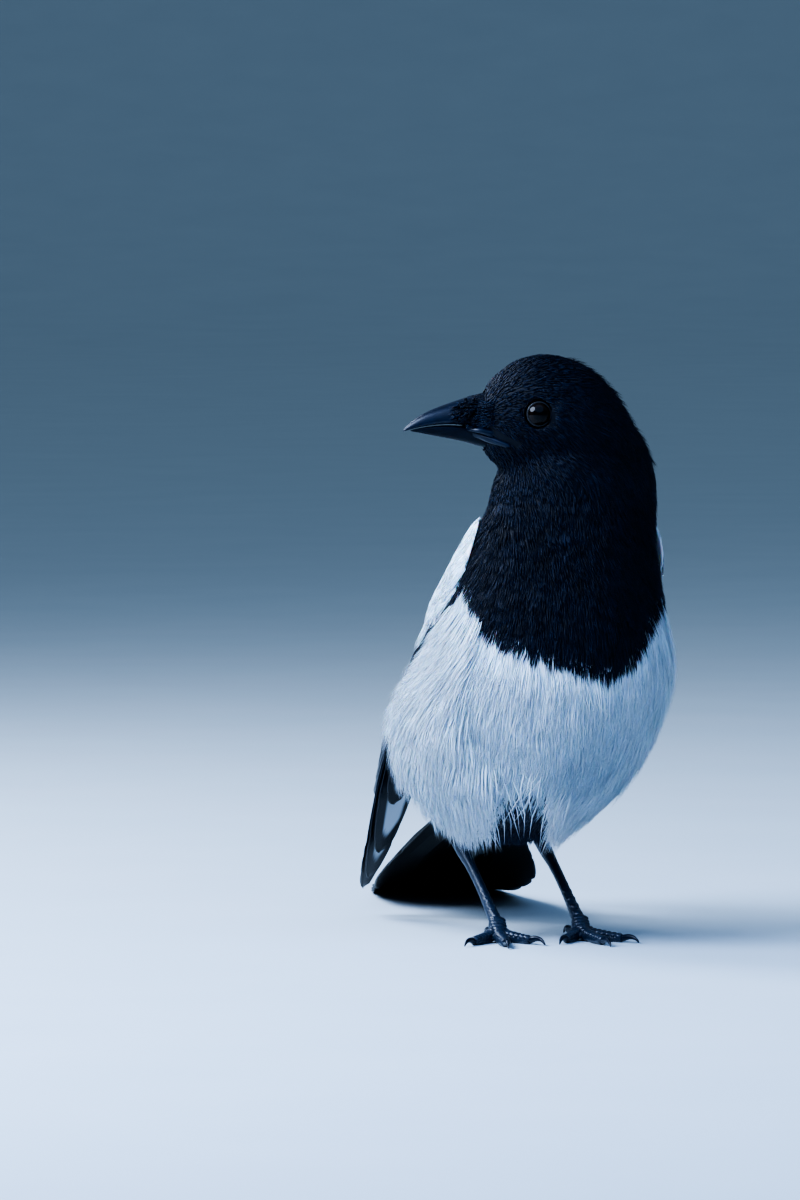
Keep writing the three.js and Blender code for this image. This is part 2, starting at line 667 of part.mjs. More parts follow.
function toeSolid(side, toe) {
  const { out, start } = toeFrame(side, toe);
  const base = toe.radius - SOLE_SINK;
  const at = (reach, height) => start.clone().addScaledVector(out, reach).setZ(height);
  const { length } = toe;
  const points = [at(0, 4), at(length * 0.3, base + 0.5), at(length * 0.65, base), at(length, base)];
  const rings = 2 * toe.joints + 4;
  const radii = Array.from({ length: rings + 1 }, (_, i) => {
    const t = i / rings;
    const knuckle = 1 + 0.1 * Math.cos(2 * Math.PI * t * toe.joints);
    return toe.radius * (1.12 - 0.28 * t) * knuckle * (i === rings ? 0.7 : 1);
  });
  return tube(points, radii, 7);
}

function clawSolid(side, toe, swell = 0) {
  const { out, start } = toeFrame(side, toe);
  const base = toe.radius - SOLE_SINK;
  const at = (reach, height) => start.clone().addScaledVector(out, toe.length + reach).setZ(height);
  const points = [
    at(-CLAW_SINK - swell, base + 0.2),
    at(toe.claw * 0.3, base + 1),
    at(toe.claw * 0.7, base + 0.6),
    at(toe.claw * 0.95, 0.3),
  ];
  const radii = CLAW_SHARES.map((share) => share * toe.radius + swell);
  return tube(points, radii, 7, 1.15).intersect(beyond(level(0), 0));
}

function footSolid(side) {
  const ankle = anklePoint(side);
  const run = new THREE.Vector3().subVectors(ankle, heelPoint(side)).normalize();
  const pad = tube(
    [ankle.clone().addScaledVector(run, -ANKLE_CAP), ankle, new THREE.Vector3(footX(side), -1.5, 2.2)],
    PAD_RADII,
    10,
  );
  const room = joined([tarsusSolid(side, GAP), ...TOES.map((toe) => clawSolid(side, toe, GAP))]);
  const foot = joined([pad, ...TOES.map((toe) => toeSolid(side, toe))]);
  return foot.subtract(room).intersect(beyond(level(0), 0));
}

// Black bristles that lie forward over the root of the bill
function bristleVane(side, i) {
  const { count, length, width, from, low, high, clear } = BRISTLES;
  const share = i / (count - 1);
  const height = THREE.MathUtils.lerp(low, high, share);
  const place = (along, across, thick) => {
    const forward = from + along;
    const drop = (bill.culmen(from) - bill.culmen(forward)) * THREE.MathUtils.lerp(0.35, 1, share);
    const tall = height - drop + across;
    const depth = bill.culmen(forward) - bill.mouth(forward);
    const rise = THREE.MathUtils.clamp((tall - bill.mouth(forward)) / depth, 0, 0.985);
    const round = Math.cos(Math.asin(rise ** (1 / ARCH_RISE))) ** ARCH_SIDE;
    return headPoint(forward, side * (bill.half(forward) * round + clear + thick), tall + share / 2);
  };
  return vane(length - 3 * Math.abs(share - 0.4), width, place, 4);
}

// The whole bird, parted by thin cuts
const eyeSockets = [1, -1].map((side) => ball(eyeCentre(side), EYE_RADIUS + GAP, 18, 12));
const billRoom = joined([billHalf(true, GAP), billHalf(false, GAP)]);
const bristles = [];
for (const side of [1, -1])
  for (let i = 0; i < BRISTLES.count; i++) bristles.push(bristleVane(side, i));

const flesh = joined([trunkSolid(), headSolid(), rumpSolid(), lidRing(1), lidRing(-1), ...bristles]);
const lower = flesh.intersect(beyond(opposite(level(NECK_LEVEL))));
const belowBib = lower.intersect(beyond(opposite(BIB_PLANE)));
const beforeRump = beyond(opposite(RUMP_PLANE));

const head = flesh
  .intersect(beyond(HEAD_PLANE))
  .subtract(joined([...eyeSockets, billRoom]));
const neck = flesh.intersect(beyond(level(NECK_LEVEL))).intersect(beyond(opposite(HEAD_PLANE)));
const breast = lower.intersect(beyond(BIB_PLANE));
const back = belowBib.intersect(beyond(FLANK_PLANE)).intersect(beforeRump);
const belly = belowBib.intersect(beyond(opposite(FLANK_PLANE))).intersect(beforeRump);
const tail = tailSolid();

const bodyRoom = joined([trunkSolid(GAP), rumpSolid(GAP)]);

// Materials, with the colours of the coat in even light
const finish = (color, roughness, metalness = 0) =>
  new THREE.MeshStandardMaterial({ color, roughness, metalness });
const BLACK_PLUMAGE = finish(0x0b0d12, 0.55);
const WHITE_PLUMAGE = finish(0xe9edf2, 0.8);
const FLIGHT_FEATHER = finish(0x10202e, 0.35, 0.15);
const TAIL_FEATHER = finish(0x0d1d1c, 0.35, 0.15);
const HORN = finish(0x14171c, 0.35);
const SCALE = finish(0x1d2127, 0.5);
const EYE = finish(0x0a0705, 0.08);

const bird = new THREE.Group();
const model = new THREE.Group();
bird.add(model);

function part(name, solid, material) {
  const mesh = new THREE.Mesh(geometryOf(largest(solid)), material);
  mesh.name = name;
  model.add(mesh);
}

part("head", head, BLACK_PLUMAGE);
part("bill_upper", billHalf(true), HORN);
part("bill_lower", billHalf(false), HORN);
part("neck", neck, BLACK_PLUMAGE);
part("breast", breast, BLACK_PLUMAGE);
part("back", back, BLACK_PLUMAGE);
part("belly", belly, WHITE_PLUMAGE);
part("tail", tail, TAIL_FEATHER);

for (const [name, side] of [
  ["left", 1],
  ["right", -1],
]) {
  const scapulars = scapularSolid(side);
  const thigh = thighSolid(side).subtract(bodyRoom);
  const wing = wingSolid(side).subtract(bodyRoom).subtract(scapularSolid(side, GAP));
  part(`eye_${name}`, ball(eyeCentre(side), EYE_RADIUS, 18, 12), EYE);
  part(`scapulars_${name}`, scapulars.subtract(bodyRoom), WHITE_PLUMAGE);
  part(`wing_${name}`, wing, FLIGHT_FEATHER);
  part(`thigh_${name}`, thigh, BLACK_PLUMAGE);
  part(`tarsus_${name}`, tarsusSolid(side).subtract(thighSolid(side, GAP)), SCALE);
  part(`foot_${name}`, footSolid(side), SCALE);
  for (const toe of TOES) part(`claw_${toe.name}_${name}`, clawSolid(side, toe), HORN);
}

// The origin is the floor point under the middle of the bird's bounding box.
const box = new THREE.Box3().setFromObject(model);
model.position.set(-(box.min.x + box.max.x) / 2, -(box.min.y + box.max.y) / 2, -box.min.z);

export default bird;
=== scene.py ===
# %% [markdown]
# A life-size magpie, as a museum would show it. The frame holds the bird's solids at their real size, and
# this lesson dresses them: first a skin, then a coat of small feathers that lie along it, then the large
# feathers of wings and tail, the bill, eyes and feet, and last the floor, the lights and the camera.

# %% Load the frame
import math
import bmesh
import bpy
import numpy as np
from mathutils import Matrix, Vector
from mathutils.bvhtree import BVHTree


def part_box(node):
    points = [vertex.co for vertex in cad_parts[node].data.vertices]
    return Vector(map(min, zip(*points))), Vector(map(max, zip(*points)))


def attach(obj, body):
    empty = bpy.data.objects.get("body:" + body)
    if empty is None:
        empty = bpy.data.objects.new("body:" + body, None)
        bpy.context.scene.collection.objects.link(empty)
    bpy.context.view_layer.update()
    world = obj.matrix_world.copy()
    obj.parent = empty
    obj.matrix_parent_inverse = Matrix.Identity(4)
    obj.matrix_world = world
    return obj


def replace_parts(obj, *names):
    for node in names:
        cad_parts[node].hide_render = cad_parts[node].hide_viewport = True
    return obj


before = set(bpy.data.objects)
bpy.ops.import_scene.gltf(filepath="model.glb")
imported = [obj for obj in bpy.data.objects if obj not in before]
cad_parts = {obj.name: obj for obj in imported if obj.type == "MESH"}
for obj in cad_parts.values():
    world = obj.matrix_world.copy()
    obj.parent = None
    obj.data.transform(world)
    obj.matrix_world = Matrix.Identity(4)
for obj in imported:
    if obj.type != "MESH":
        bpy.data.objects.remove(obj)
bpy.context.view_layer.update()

MM = 0.001
rng = np.random.default_rng(7)
print("nodes", len(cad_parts))


# %% [markdown]
# Places on a bird are easiest to give from the floor between its feet, so one fixed point, the middle of
# the left eye, ties that frame to the frame's own origin. Everything below is then in millimetres from
# between the feet.

# %% Bird coordinates
def middle_of(node):
    low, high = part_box(node)
    return (np.array(low) + np.array(high)) / 2


HEAD_AT = np.array([-12.2, -24.0, 190.8])
HEAD_TURN = math.radians(-95)
AHEAD = np.array([math.sin(HEAD_TURN), -math.cos(HEAD_TURN), 0])
LEFTWARD = np.array([math.cos(HEAD_TURN), math.sin(HEAD_TURN), 0])
UP = np.array([0, 0, 1.0])
EYE_SIDE = 13.2
EYE_RADIUS = 4.9
ORIGIN = middle_of("eye_left") / MM - (HEAD_AT + EYE_SIDE * LEFTWARD)


def to_world(points):
    return (np.asarray(points, float) + ORIGIN) * MM


def to_bird(points):
    return np.asarray(points, float) / MM - ORIGIN


def head_point(forward, side, height):
    return HEAD_AT + forward * AHEAD + side * LEFTWARD + height * UP


print("floor point between the feet", np.round(ORIGIN, 2))


# %% [markdown]
# Colours are written as sRGB hex, as a paint chart gives them, and one function turns them into the
# linear values that the shader wants. A second small function adds a node, sets its inputs and links it,
# so each material below reads as a short recipe.

# %% Colour and node helpers
def linear(code):
    channels = [int(code[i:i + 2], 16) / 255 for i in (1, 3, 5)]
    return [c / 12.92 if c <= 0.04045 else ((c + 0.055) / 1.055) ** 2.4 for c in channels] + [1.0]


def add_node(tree, kind, inputs=None, **settings):
    node = tree.nodes.new(kind)
    for name, value in settings.items():
        setattr(node, name, value)
    for name, value in (inputs or {}).items():
        if isinstance(value, bpy.types.NodeSocket):
            tree.links.new(value, node.inputs[name])
        else:
            node.inputs[name].default_value = value
    return node


def new_material(name, **principled):
    material = bpy.data.materials.new(name)
    material.use_nodes = True
    tree = material.node_tree
    shader = tree.nodes["Principled BSDF"]
    for socket, value in principled.items():
        shader.inputs[socket.replace("_", " ")].default_value = value
    return material, tree, shader


# %% [markdown]
# Feather is keratin: a clear horn-like protein over dark pigment or over air, which gives black feathers
# a tight gloss with a blue cast and white ones a soft, milky look. One plumage material serves the skin
# and every small feather. It reads the marking "white", from 0 on black plumage to 1 on white, and
# "shade", a small change from one feather to the next, so that no two lie in quite the same tone; in the
# belly's middle it is lowered further as painted shade. The bluer end of the black is partly the
# feathers' own blue and partly painted sheen.

# %% Body plumage
BLACK_FEATHER = "#020306"
# the bluer end of the black feathers' tone: partly their own blue, partly painted sheen for navy highlights
BLACK_BLUE_AND_SHEEN = "#0a1629"
WHITE_FEATHER = "#f6f9fd"
WHITE_SHADOW = "#b2bcc8"
SHEEN = "#2b5590"
BARB_MM = 0.5  # real barbs are about 0.1 mm apart, drawn coarser so that they show


def plumage(name, roughness, barbs):
    material, tree, shader = new_material(
        name, Roughness=roughness, Specular_IOR_Level=0.2, Sheen_Weight=0.05, Sheen_Roughness=0.45,
        Sheen_Tint=linear(SHEEN), Subsurface_Weight=0.4, Subsurface_Scale=1.5 * MM)
    white = add_node(tree, "ShaderNodeAttribute", attribute_name="white").outputs["Fac"]
    shade = add_node(tree, "ShaderNodeAttribute", attribute_name="shade").outputs["Fac"]
    # a colour mix has its factor in place 0 and its two colours in places 6 and 7
    black = add_node(tree, "ShaderNodeMix", {0: shade, 6: linear(BLACK_FEATHER), 7: linear(BLACK_BLUE_AND_SHEEN)},
                     data_type="RGBA")
    pale = add_node(tree, "ShaderNodeMix", {0: shade, 6: linear(WHITE_SHADOW), 7: linear(WHITE_FEATHER)},
                    data_type="RGBA")
    both = add_node(tree, "ShaderNodeMix", {0: white, 6: black.outputs[2], 7: pale.outputs[2]},
                    data_type="RGBA")
    tree.links.new(both.outputs[2], shader.inputs["Base Color"])
    place = add_node(tree, "ShaderNodeTexCoord").outputs["Object"]
    fine = add_node(tree, "ShaderNodeTexNoise", {"Vector": place, "Scale": 1 / (barbs * MM), "Detail": 3.0})
    bump = add_node(tree, "ShaderNodeBump",
                    {"Height": fine.outputs["Fac"], "Strength": 0.2, "Distance": 0.15 * MM})
    tree.links.new(bump.outputs["Normal"], shader.inputs["Normal"])
    return material


PLUMAGE = plumage("feather_keratin_matt", 0.55, BARB_MM)
print("made", PLUMAGE.name)


# %% [markdown]
# The large feathers of wing and tail are smooth stiff vanes. Their barbs run out from the shaft at a
# slant, so the bump is a band pattern on the feather's own map, where X runs across the vane and Y along
# it. Magpie flight feathers gloss blue, and the tail green to bronze, from thin layers in the barbs: a
# colour that changes slowly along the vane stands for it.

# %% Flight feather keratin
SHADED_WHITE_WEB = "#c3ced9"  # greyer and bluer than the body's white: painted shade on the white webs of the folded wing


def vane_material(name, dark, gloss, tip, roughness=0.4, specular=0.45):
    material, tree, shader = new_material(name, Roughness=roughness, Specular_IOR_Level=specular,
                                          Coat_Weight=0.08, Coat_Roughness=0.3)
    white = add_node(tree, "ShaderNodeAttribute", attribute_name="white").outputs["Fac"]
    shade = add_node(tree, "ShaderNodeAttribute", attribute_name="shade").outputs["Fac"]
    along = add_node(tree, "ShaderNodeAttribute", attribute_name="along").outputs["Fac"]
    ramp = add_node(tree, "ShaderNodeValToRGB", {"Fac": along})
    ramp.color_ramp.elements[0].color = linear(dark)
    ramp.color_ramp.elements[1].color = linear(tip)
    middle = ramp.color_ramp.elements.new(0.55)
    middle.color = linear(gloss)
    tone = add_node(tree, "ShaderNodeMix", {0: shade, 6: linear(dark), 7: ramp.outputs["Color"]},
                    data_type="RGBA")
    both = add_node(tree, "ShaderNodeMix", {0: white, 6: tone.outputs[2], 7: linear(SHADED_WHITE_WEB)},
                    data_type="RGBA")
    tree.links.new(both.outputs[2], shader.inputs["Base Color"])
    barb = add_node(tree, "ShaderNodeAttribute", attribute_name="barb").outputs["Fac"]
    wave = add_node(tree, "ShaderNodeMath", {0: barb, 1: 2 * math.pi / BARB_MM}, operation="MULTIPLY")
    line = add_node(tree, "ShaderNodeMath", {0: wave.outputs[0]}, operation="SINE")
    bump = add_node(tree, "ShaderNodeBump",
                    {"Height": line.outputs[0], "Strength": 0.3, "Distance": 0.12 * MM})
    tree.links.new(bump.outputs["Normal"], shader.inputs["Normal"])
    return material


WING_VANE = vane_material("flight_feather_keratin_blue", "#020407", "#061a30", "#030a14")
TAIL_VANE = vane_material("tail_feather_keratin_green", "#010304", "#04120f", "#05080f")


# %% [markdown]
# Horn covers the bill and claws. It grows in layers along the bill and wears smooth, so it is glossy with
# faint long streaks. The legs are black scaly skin: matter, with a fine grain and a paler blue tone mixed
# in by noise, which on the legs is painted sheen.

# %% Horn, scaly skin and the eye
def horn(name, base, streak, roughness=0.3, specular=0.3):
    material, tree, shader = new_material(name, Roughness=roughness, Specular_IOR_Level=specular)
    place = add_node(tree, "ShaderNodeTexCoord").outputs["Object"]
    stretched = add_node(tree, "ShaderNodeMapping", {"Vector": place, "Scale": (0.25, 1, 1)})
    grain = add_node(tree, "ShaderNodeTexNoise",
                     {"Vector": stretched.outputs[0], "Scale": 1 / (1.4 * MM), "Detail": 4.0})
    mix = add_node(tree, "ShaderNodeMix", {0: grain.outputs["Fac"], 6: linear(base), 7: linear(streak)},
                   data_type="RGBA")
    tree.links.new(mix.outputs[2], shader.inputs["Base Color"])
    bump = add_node(tree, "ShaderNodeBump",
                    {"Height": grain.outputs["Fac"], "Strength": 0.12, "Distance": 0.15 * MM})
    tree.links.new(bump.outputs["Normal"], shader.inputs["Normal"])
    return material


def scaly_skin(name, base, paler_tone, cell_mm, roughness):
    material, tree, shader = new_material(name, Roughness=roughness, Specular_IOR_Level=0.5)
    place = add_node(tree, "ShaderNodeTexCoord").outputs["Object"]
    cells = add_node(tree, "ShaderNodeTexVoronoi", {"Vector": place, "Scale": 1 / (cell_mm * MM)})
    noise = add_node(tree, "ShaderNodeTexNoise", {"Vector": place, "Scale": 1 / (3 * MM), "Detail": 5.0})
    mix = add_node(tree, "ShaderNodeMix", {0: noise.outputs["Fac"], 6: linear(base), 7: linear(paler_tone)},
                   data_type="RGBA")
    tree.links.new(mix.outputs[2], shader.inputs["Base Color"])
    bump = add_node(tree, "ShaderNodeBump",
                    {"Height": cells.outputs["Distance"], "Strength": 0.5, "Distance": 0.25 * MM},
                    invert=True)
    tree.links.new(bump.outputs["Normal"], shader.inputs["Normal"])
    return material


HORN = horn("polished_horn", "#03070f", "#0b1a30")
# the lower bill's horn: matter than the upper, and a little darker as painted shade under the bill
MATT_SHADED_HORN = horn("matt_horn_painted_shade", "#020509", "#081424", 0.42, 0.14)
# the legs' paler blue tone is painted sheen, standing for the blue highlights along the scales
SCALE = scaly_skin("scaly_leg_skin", "#070b12", "#24344a", 0.9, 0.36)
LID_SKIN = scaly_skin("eyelid_skin", "#05080c", "#10161e", 0.5, 0.5)


def eye_material():
    material, tree, shader = new_material("wet_eye", Roughness=0.07, Specular_IOR_Level=0.2)
    centre = add_node(tree, "ShaderNodeAttribute", attribute_name="centre").outputs["Fac"]
    ramp = add_node(tree, "ShaderNodeValToRGB", {"Fac": centre})
    stops = ((0.0, "#030304"), (0.5, "#060505"), (0.56, "#170e0a"), (0.86, "#100a08"))
    ramp.color_ramp.elements[0].color = linear(stops[0][1])
    ramp.color_ramp.elements[1].color = linear("#060505")
    for position, code in stops[1:]:
        ramp.color_ramp.elements.new(position).color = linear(code)
    tree.links.new(ramp.outputs["Color"], shader.inputs["Base Color"])
    return material


EYE = eye_material()


# %% [markdown]
# The markings of a magpie are few: all black, apart from a white belly and flanks and white shoulder
# patches. The lower edge of the black breast is a curve across the body, the white of the sides ends at a
# slanted plane, and the vent behind the legs is black again. Skin and coat ask the same function, so that
# no black skin shows between white feathers.

# %% Markings
FLANK = (np.array([0, -27, 134.5]), np.array([0, 0.662, 0.75]))
FLANK_REACH = 1.5
BIB_TURN = 0.268  # the breast is turned a little to the bird's right
BIB_ACROSS = [-60, -31, -28, -23, -15, 5, 25, 31, 35, 38, 60]
BIB_HEIGHT = [155, 146, 127, 116, 112, 105, 101, 105, 111, 120, 150]
GAP_MIDDLE = -8  # the black between the legs
GAP_HALF = 14
GAP_HEIGHT = 59
GAP_BOW = 12
VENT = dict(behind=26, below=66, middle=-6, half=30)
WHITE_END = 62


def side_of(plane, points):
    point, normal = plane
    return (points - point) @ (normal / np.linalg.norm(normal))


def across_body(points):
    """Sideways place, counted square to the way the breast faces."""
    return points[:, 0] - BIB_TURN * points[:, 1]


def off_gap(points):
    return np.abs(across_body(points) - GAP_MIDDLE)


def whiteness(points, ragged=0.0):
    x, y, z = points.T
    jag = ragged * rng.standard_normal(len(points))
    white = z < np.interp(across_body(points), BIB_ACROSS, BIB_HEIGHT) + jag
    white &= side_of(FLANK, points) + 0.5 * jag < FLANK_REACH
    vent = (y + 0.6 * jag > VENT["behind"]) & (z < VENT["below"])
    vent &= np.abs(x - VENT["middle"]) < VENT["half"]
    gap = z + jag < GAP_HEIGHT - (off_gap(points) / GAP_HALF) ** 2 * GAP_BOW
    gap &= off_gap(points) < GAP_HALF
    return np.where(white & ~vent & ~gap & (y < WHITE_END), 1.0, 0.0)


print("breast's lower edge", min(BIB_HEIGHT), "to", max(BIB_HEIGHT), "mm")


# %% [markdown]
# Three kinds of mesh work come again and again: taking a mesh's points and normals as arrays, giving it a
# named value for each point, and ending a modelled form with its faces turned outwards and smoothly
# shaded. Each is one short function here.

# %% Mesh helpers
def mesh_object(name, mesh, material):
    piece = bpy.data.objects.new(name, mesh)
    bpy.context.scene.collection.objects.link(piece)
    mesh.materials.clear()
    mesh.materials.append(material)
    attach(piece, "root")
    return piece


def coordinates(mesh):
    flat = np.empty(len(mesh.vertices) * 3)
    mesh.vertices.foreach_get("co", flat)
    return flat.reshape(-1, 3)


def normals(mesh):
    flat = np.empty(len(mesh.vertices) * 3, dtype=np.float32)
    mesh.vertex_normals.foreach_get("vector", flat)
    return flat.reshape(-1, 3).astype(float)


def set_float(mesh, name, values):
    layer = mesh.attributes.new(name, "FLOAT", "POINT")
    layer.data.foreach_set("value", np.asarray(values, dtype=np.float32))


def smooth_shading(mesh):
    mesh.polygons.foreach_set("use_smooth", np.ones(len(mesh.polygons), dtype=bool))


def finished_mesh(form, name):
    bmesh.ops.recalc_face_normals(form, faces=form.faces)
    mesh = bpy.data.meshes.new(name)
    form.to_mesh(mesh)
    form.free()
    smooth_shading(mesh)
    return mesh


def applied(piece, *modifiers):
    """Puts modifiers on a piece and keeps the mesh that they make."""
    for kind, settings in modifiers:
        modifier = piece.modifiers.new(kind.lower(), kind)
        for key, value in settings.items():
            setattr(modifier, key, value)
    evaluated = piece.evaluated_get(bpy.context.evaluated_depsgraph_get())
    mesh = bpy.data.meshes.new_from_object(evaluated)
    piece.modifiers.clear()
    old, piece.data = piece.data, mesh
    mesh.name = old.name
    return piece


# %% [markdown]
# The skin is one closed surface. Copies of the solid body parts are joined with a form for the rump, and
# a voxel remesh melts them into one skin with no seams, as a sculptor would merge clay. Smoothing takes
# away the facets, and then the skin is drawn inwards by the depth of the coat, less on the face, where
# the feathers are shortest.

# %% Skin
BODY_NODES = ["head", "neck", "breast", "back", "belly", "thigh_left", "thigh_right"]
VOXEL_MM = 1.1
SMOOTHING = 14
RUMP = dict(centre=(-5, 62, 60), radii=(21, 40, 17), slope=math.radians(-26))
FACE = head_point(19, 0, -3)
COAT_DEPTH = ([8, 30, 60, 110], [0.8, 1.0, 1.4, 1.9])  # distance from the face, depth there


def joined_nodes(name, nodes, extra=None):
    form = bmesh.new()
    for node in nodes:
        form.from_mesh(bpy.data.objects[node].data)
    bmesh.ops.remove_doubles(form, verts=form.verts, dist=0.01 * MM)
    if extra:
        extra(form)
    return finished_mesh(form, name)


def add_rump(form):
    turn = Matrix.Rotation(RUMP["slope"], 4, "X")
    size = Matrix.Diagonal((*[r * MM for r in RUMP["radii"]], 1))
    place = Matrix.Translation(Vector(to_world(RUMP["centre"])))
    bmesh.ops.create_uvsphere(form, u_segments=32, v_segments=20, radius=1, matrix=place @ turn @ size)


def from_face(points):
    return np.linalg.norm(points - FACE, axis=1)


def make_skin(name, mesh):
    piece = mesh_object(name, mesh, PLUMAGE)
    applied(piece, ("REMESH", dict(mode="VOXEL", voxel_size=VOXEL_MM * MM, adaptivity=0.0)),
            ("SMOOTH", dict(factor=0.6, iterations=SMOOTHING)))
    points = coordinates(piece.data)
    depth = np.interp(from_face(to_bird(points)), *COAT_DEPTH) * MM
    points -= normals(piece.data) * depth[:, None]
    piece.data.vertices.foreach_set("co", points.ravel())
    piece.data.update()
    smooth_shading(piece.data)
    return piece


skin = make_skin("skin", joined_nodes("skin", BODY_NODES, add_rump))
skin_points = to_bird(coordinates(skin.data))
set_float(skin.data, "white", whiteness(skin_points))
set_float(skin.data, "shade", np.full(len(skin_points), 0.25))
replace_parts(skin, *BODY_NODES)
print("skin faces", len(skin.data.polygons))


# %% [markdown]
# Feathers lie along the body like tiles, and their direction changes smoothly from the bill to the tail.
# A handful of directions is listed, as one would comb a real coat, and any place takes a mean of
# them that leans to the nearest. The result is laid flat on the skin.

# %% Lie of the coat
LIE = np.array([
    # x, y, z of a place, then the way the feathers point there
    [-34, -24, 190, 1, 0, 0.35],
    [-30, -26, 203, 0.75, 0, 0.7],
    [-8, -24, 213, 1, 0, 0.1],
    [16, -22, 205, 0.8, 0.1, -0.6],
    [28, -18, 185, 0.35, 0.2, -0.9],
    [34, -14, 160, 0, 0.2, -1],
    [-18, -44, 190, 0.9, 0, -0.15],
    [-4, -46, 182, 0.75, 0, -0.65],
    [-24, -34, 176, 0.75, 0, -0.65],
    [-20, -40, 166, 0.35, 0, -0.95],
    [0, -48, 155, 0.05, -0.1, -1],
    [-22, -8, 165, 0.25, 0.2, -0.95],
    [-5, -64, 115, 0, 0, -1],
    [-5, -62, 85, 0, 0.25, -0.97],
    [-30, -50, 85, -0.05, 0.3, -0.95],
    [22, -50, 85, 0.05, 0.3, -0.95],
    [-8, -42, 55, 0, 0.6, -0.8],
    [-8, 0, 38, 0, 0.85, -0.5],
    [-6, 40, 42, 0, 1, -0.2],
    [-50, 5, 80, 0, 0.5, -0.85],
    [40, 5, 80, 0, 0.5, -0.85],
    [0, 10, 148, 0, 0.5, -0.87],
    [-4, 45, 105, 0, 0.65, -0.75],
    [-5, 75, 68, 0.05, 0.9, -0.42],
    [-5, 100, 50, 0.1, 0.93, -0.35],
    [-24, 38, 36, 0, 0.35, -0.95],
    [10, 38, 36, 0, 0.35, -0.95],
], dtype=float)


def unit(vectors):
    return vectors / np.maximum(np.linalg.norm(vectors, axis=-1, keepdims=True), 1e-9)


def laid_flat(way, normal):
    """The part of each direction that runs along the surface."""
    return unit(way - normal * (way * normal).sum(1, keepdims=True))


def lie_at(points, normal):
    apart = np.linalg.norm(points[:, None, :] - LIE[None, :, :3], axis=2)
    weight = 1 / (apart + 4) ** 3
    way = (weight[:, :, None] * unit(LIE[:, 3:])[None]).sum(1)
    return laid_flat(way, normal)


print("directions given by hand", len(LIE))


# %% [markdown]
# Each small feather is planted at a random place on the skin, and its spine then creeps along the skin in
# three steps, turning with the lie of the coat, so that even long feathers hug the body. A feather that
# should hang free leaves the skin after fewer steps, and a downward pull bends it. The nearest place on
# the skin comes from a tree of its triangles, which answers at once, where a shrinkwrap modifier would
# need an object for each feather.

# %% Planting feathers
STEPS = 3
ALWAYS = 9  # more steps than a feather has: it hugs the skin all along


class Surface:
    """A skin's triangles, with what is needed to plant feathers on them."""

    def __init__(self, piece):
        mesh = piece.data
        mesh.calc_loop_triangles()
        index = np.empty(len(mesh.loop_triangles) * 3, dtype=np.int32)
        mesh.loop_triangles.foreach_get("vertices", index)
        self.corners = to_bird(coordinates(mesh))[index.reshape(-1, 3)]
        edge_a = self.corners[:, 1] - self.corners[:, 0]
        edge_b = self.corners[:, 2] - self.corners[:, 0]
        self.area = np.linalg.norm(np.cross(edge_a, edge_b), axis=1) / 2
        self.middle = self.corners.mean(1)
        self.tree = BVHTree.FromPolygons(self.corners.reshape(-1, 3).tolist(),
                                         np.arange(len(self.corners) * 3).reshape(-1, 3).tolist())

    def roots(self, region, per_mm2):
        weight = self.area * region(self.middle) * per_mm2
        total = weight.sum()
        count = int(total)
        # evenly spaced draws along the running sum spread the roots more evenly than free ones
        draws = (np.arange(count) + rng.random(count)) * total / max(count, 1)
        chosen = np.searchsorted(np.cumsum(weight), draws).clip(0, len(weight) - 1)
        a, b = rng.random((2, count, 1))
        over = a + b > 1
        a, b = np.where(over, 1 - a, a), np.where(over, 1 - b, b)
        corner = self.corners[chosen]
        return corner[:, 0] + a * (corner[:, 1] - corner[:, 0]) + b * (corner[:, 2] - corner[:, 0])

    def nearest(self, points):
        found = [self.tree.find_nearest(p) for p in points.tolist()]
        return np.array([f[0] for f in found]), np.array([f[1] for f in found])

    def spines(self, roots, length, wander, lie, pull, hug):
        """Places, normals and directions along each feather, which hugs the surface for hug steps."""
        place, normal = self.nearest(roots)
        turn = wander * rng.standard_normal(len(roots))
        rows = []
        for step in range(STEPS + 1):
            way = lie(place, normal) if step <= hug else way
            side = np.cross(normal, way)
            way = unit(way + side * turn[:, None] + np.array([0, 0, -pull * step]))
            rows.append((place, normal, way))
            if step < STEPS:
                place = place + way * (length / STEPS)[:, None]
            if step < min(STEPS, hug):
                place, normal = self.nearest(place)
        return columns_of(rows)


def columns_of(rows):
    return [np.stack(column, 1) for column in zip(*rows)]


# %% [markdown]
# Round each spine a few thin solid strands are built side by side, as the loose barbs of a small feather.
# A strand has a three-sided section, widest a third of the way along, and ends in a point. The strands
# fan out, and the outer ones lie a little lower, so that a feather is gently arched. All of it is array
# arithmetic, which makes thousands of feathers in a second, where one object each would take minutes.

# %% Strands
ROOT_SINK = -0.15
STRAND_WIDTHS = [0.75, 1.0, 0.7]  # share of the full width at each ring
STRAND_RIDGE = 0.4
OUTER_DROP = 0.18
WOBBLE = 0.35
TIP_FAN = 0.8
POINTS_EACH = 3 * STEPS + 1


def fan_width(t):
    return 0.25 + 0.75 * math.sin(math.pi * (0.15 + 0.6 * t))


def strand_place(spine, side, step, fan, lift, along):
    place, normal, way = (row[:, None, step] for row in spine)
    return place + side[:, None, step] * fan[..., None] + normal * lift[..., None] + way * along[..., None]


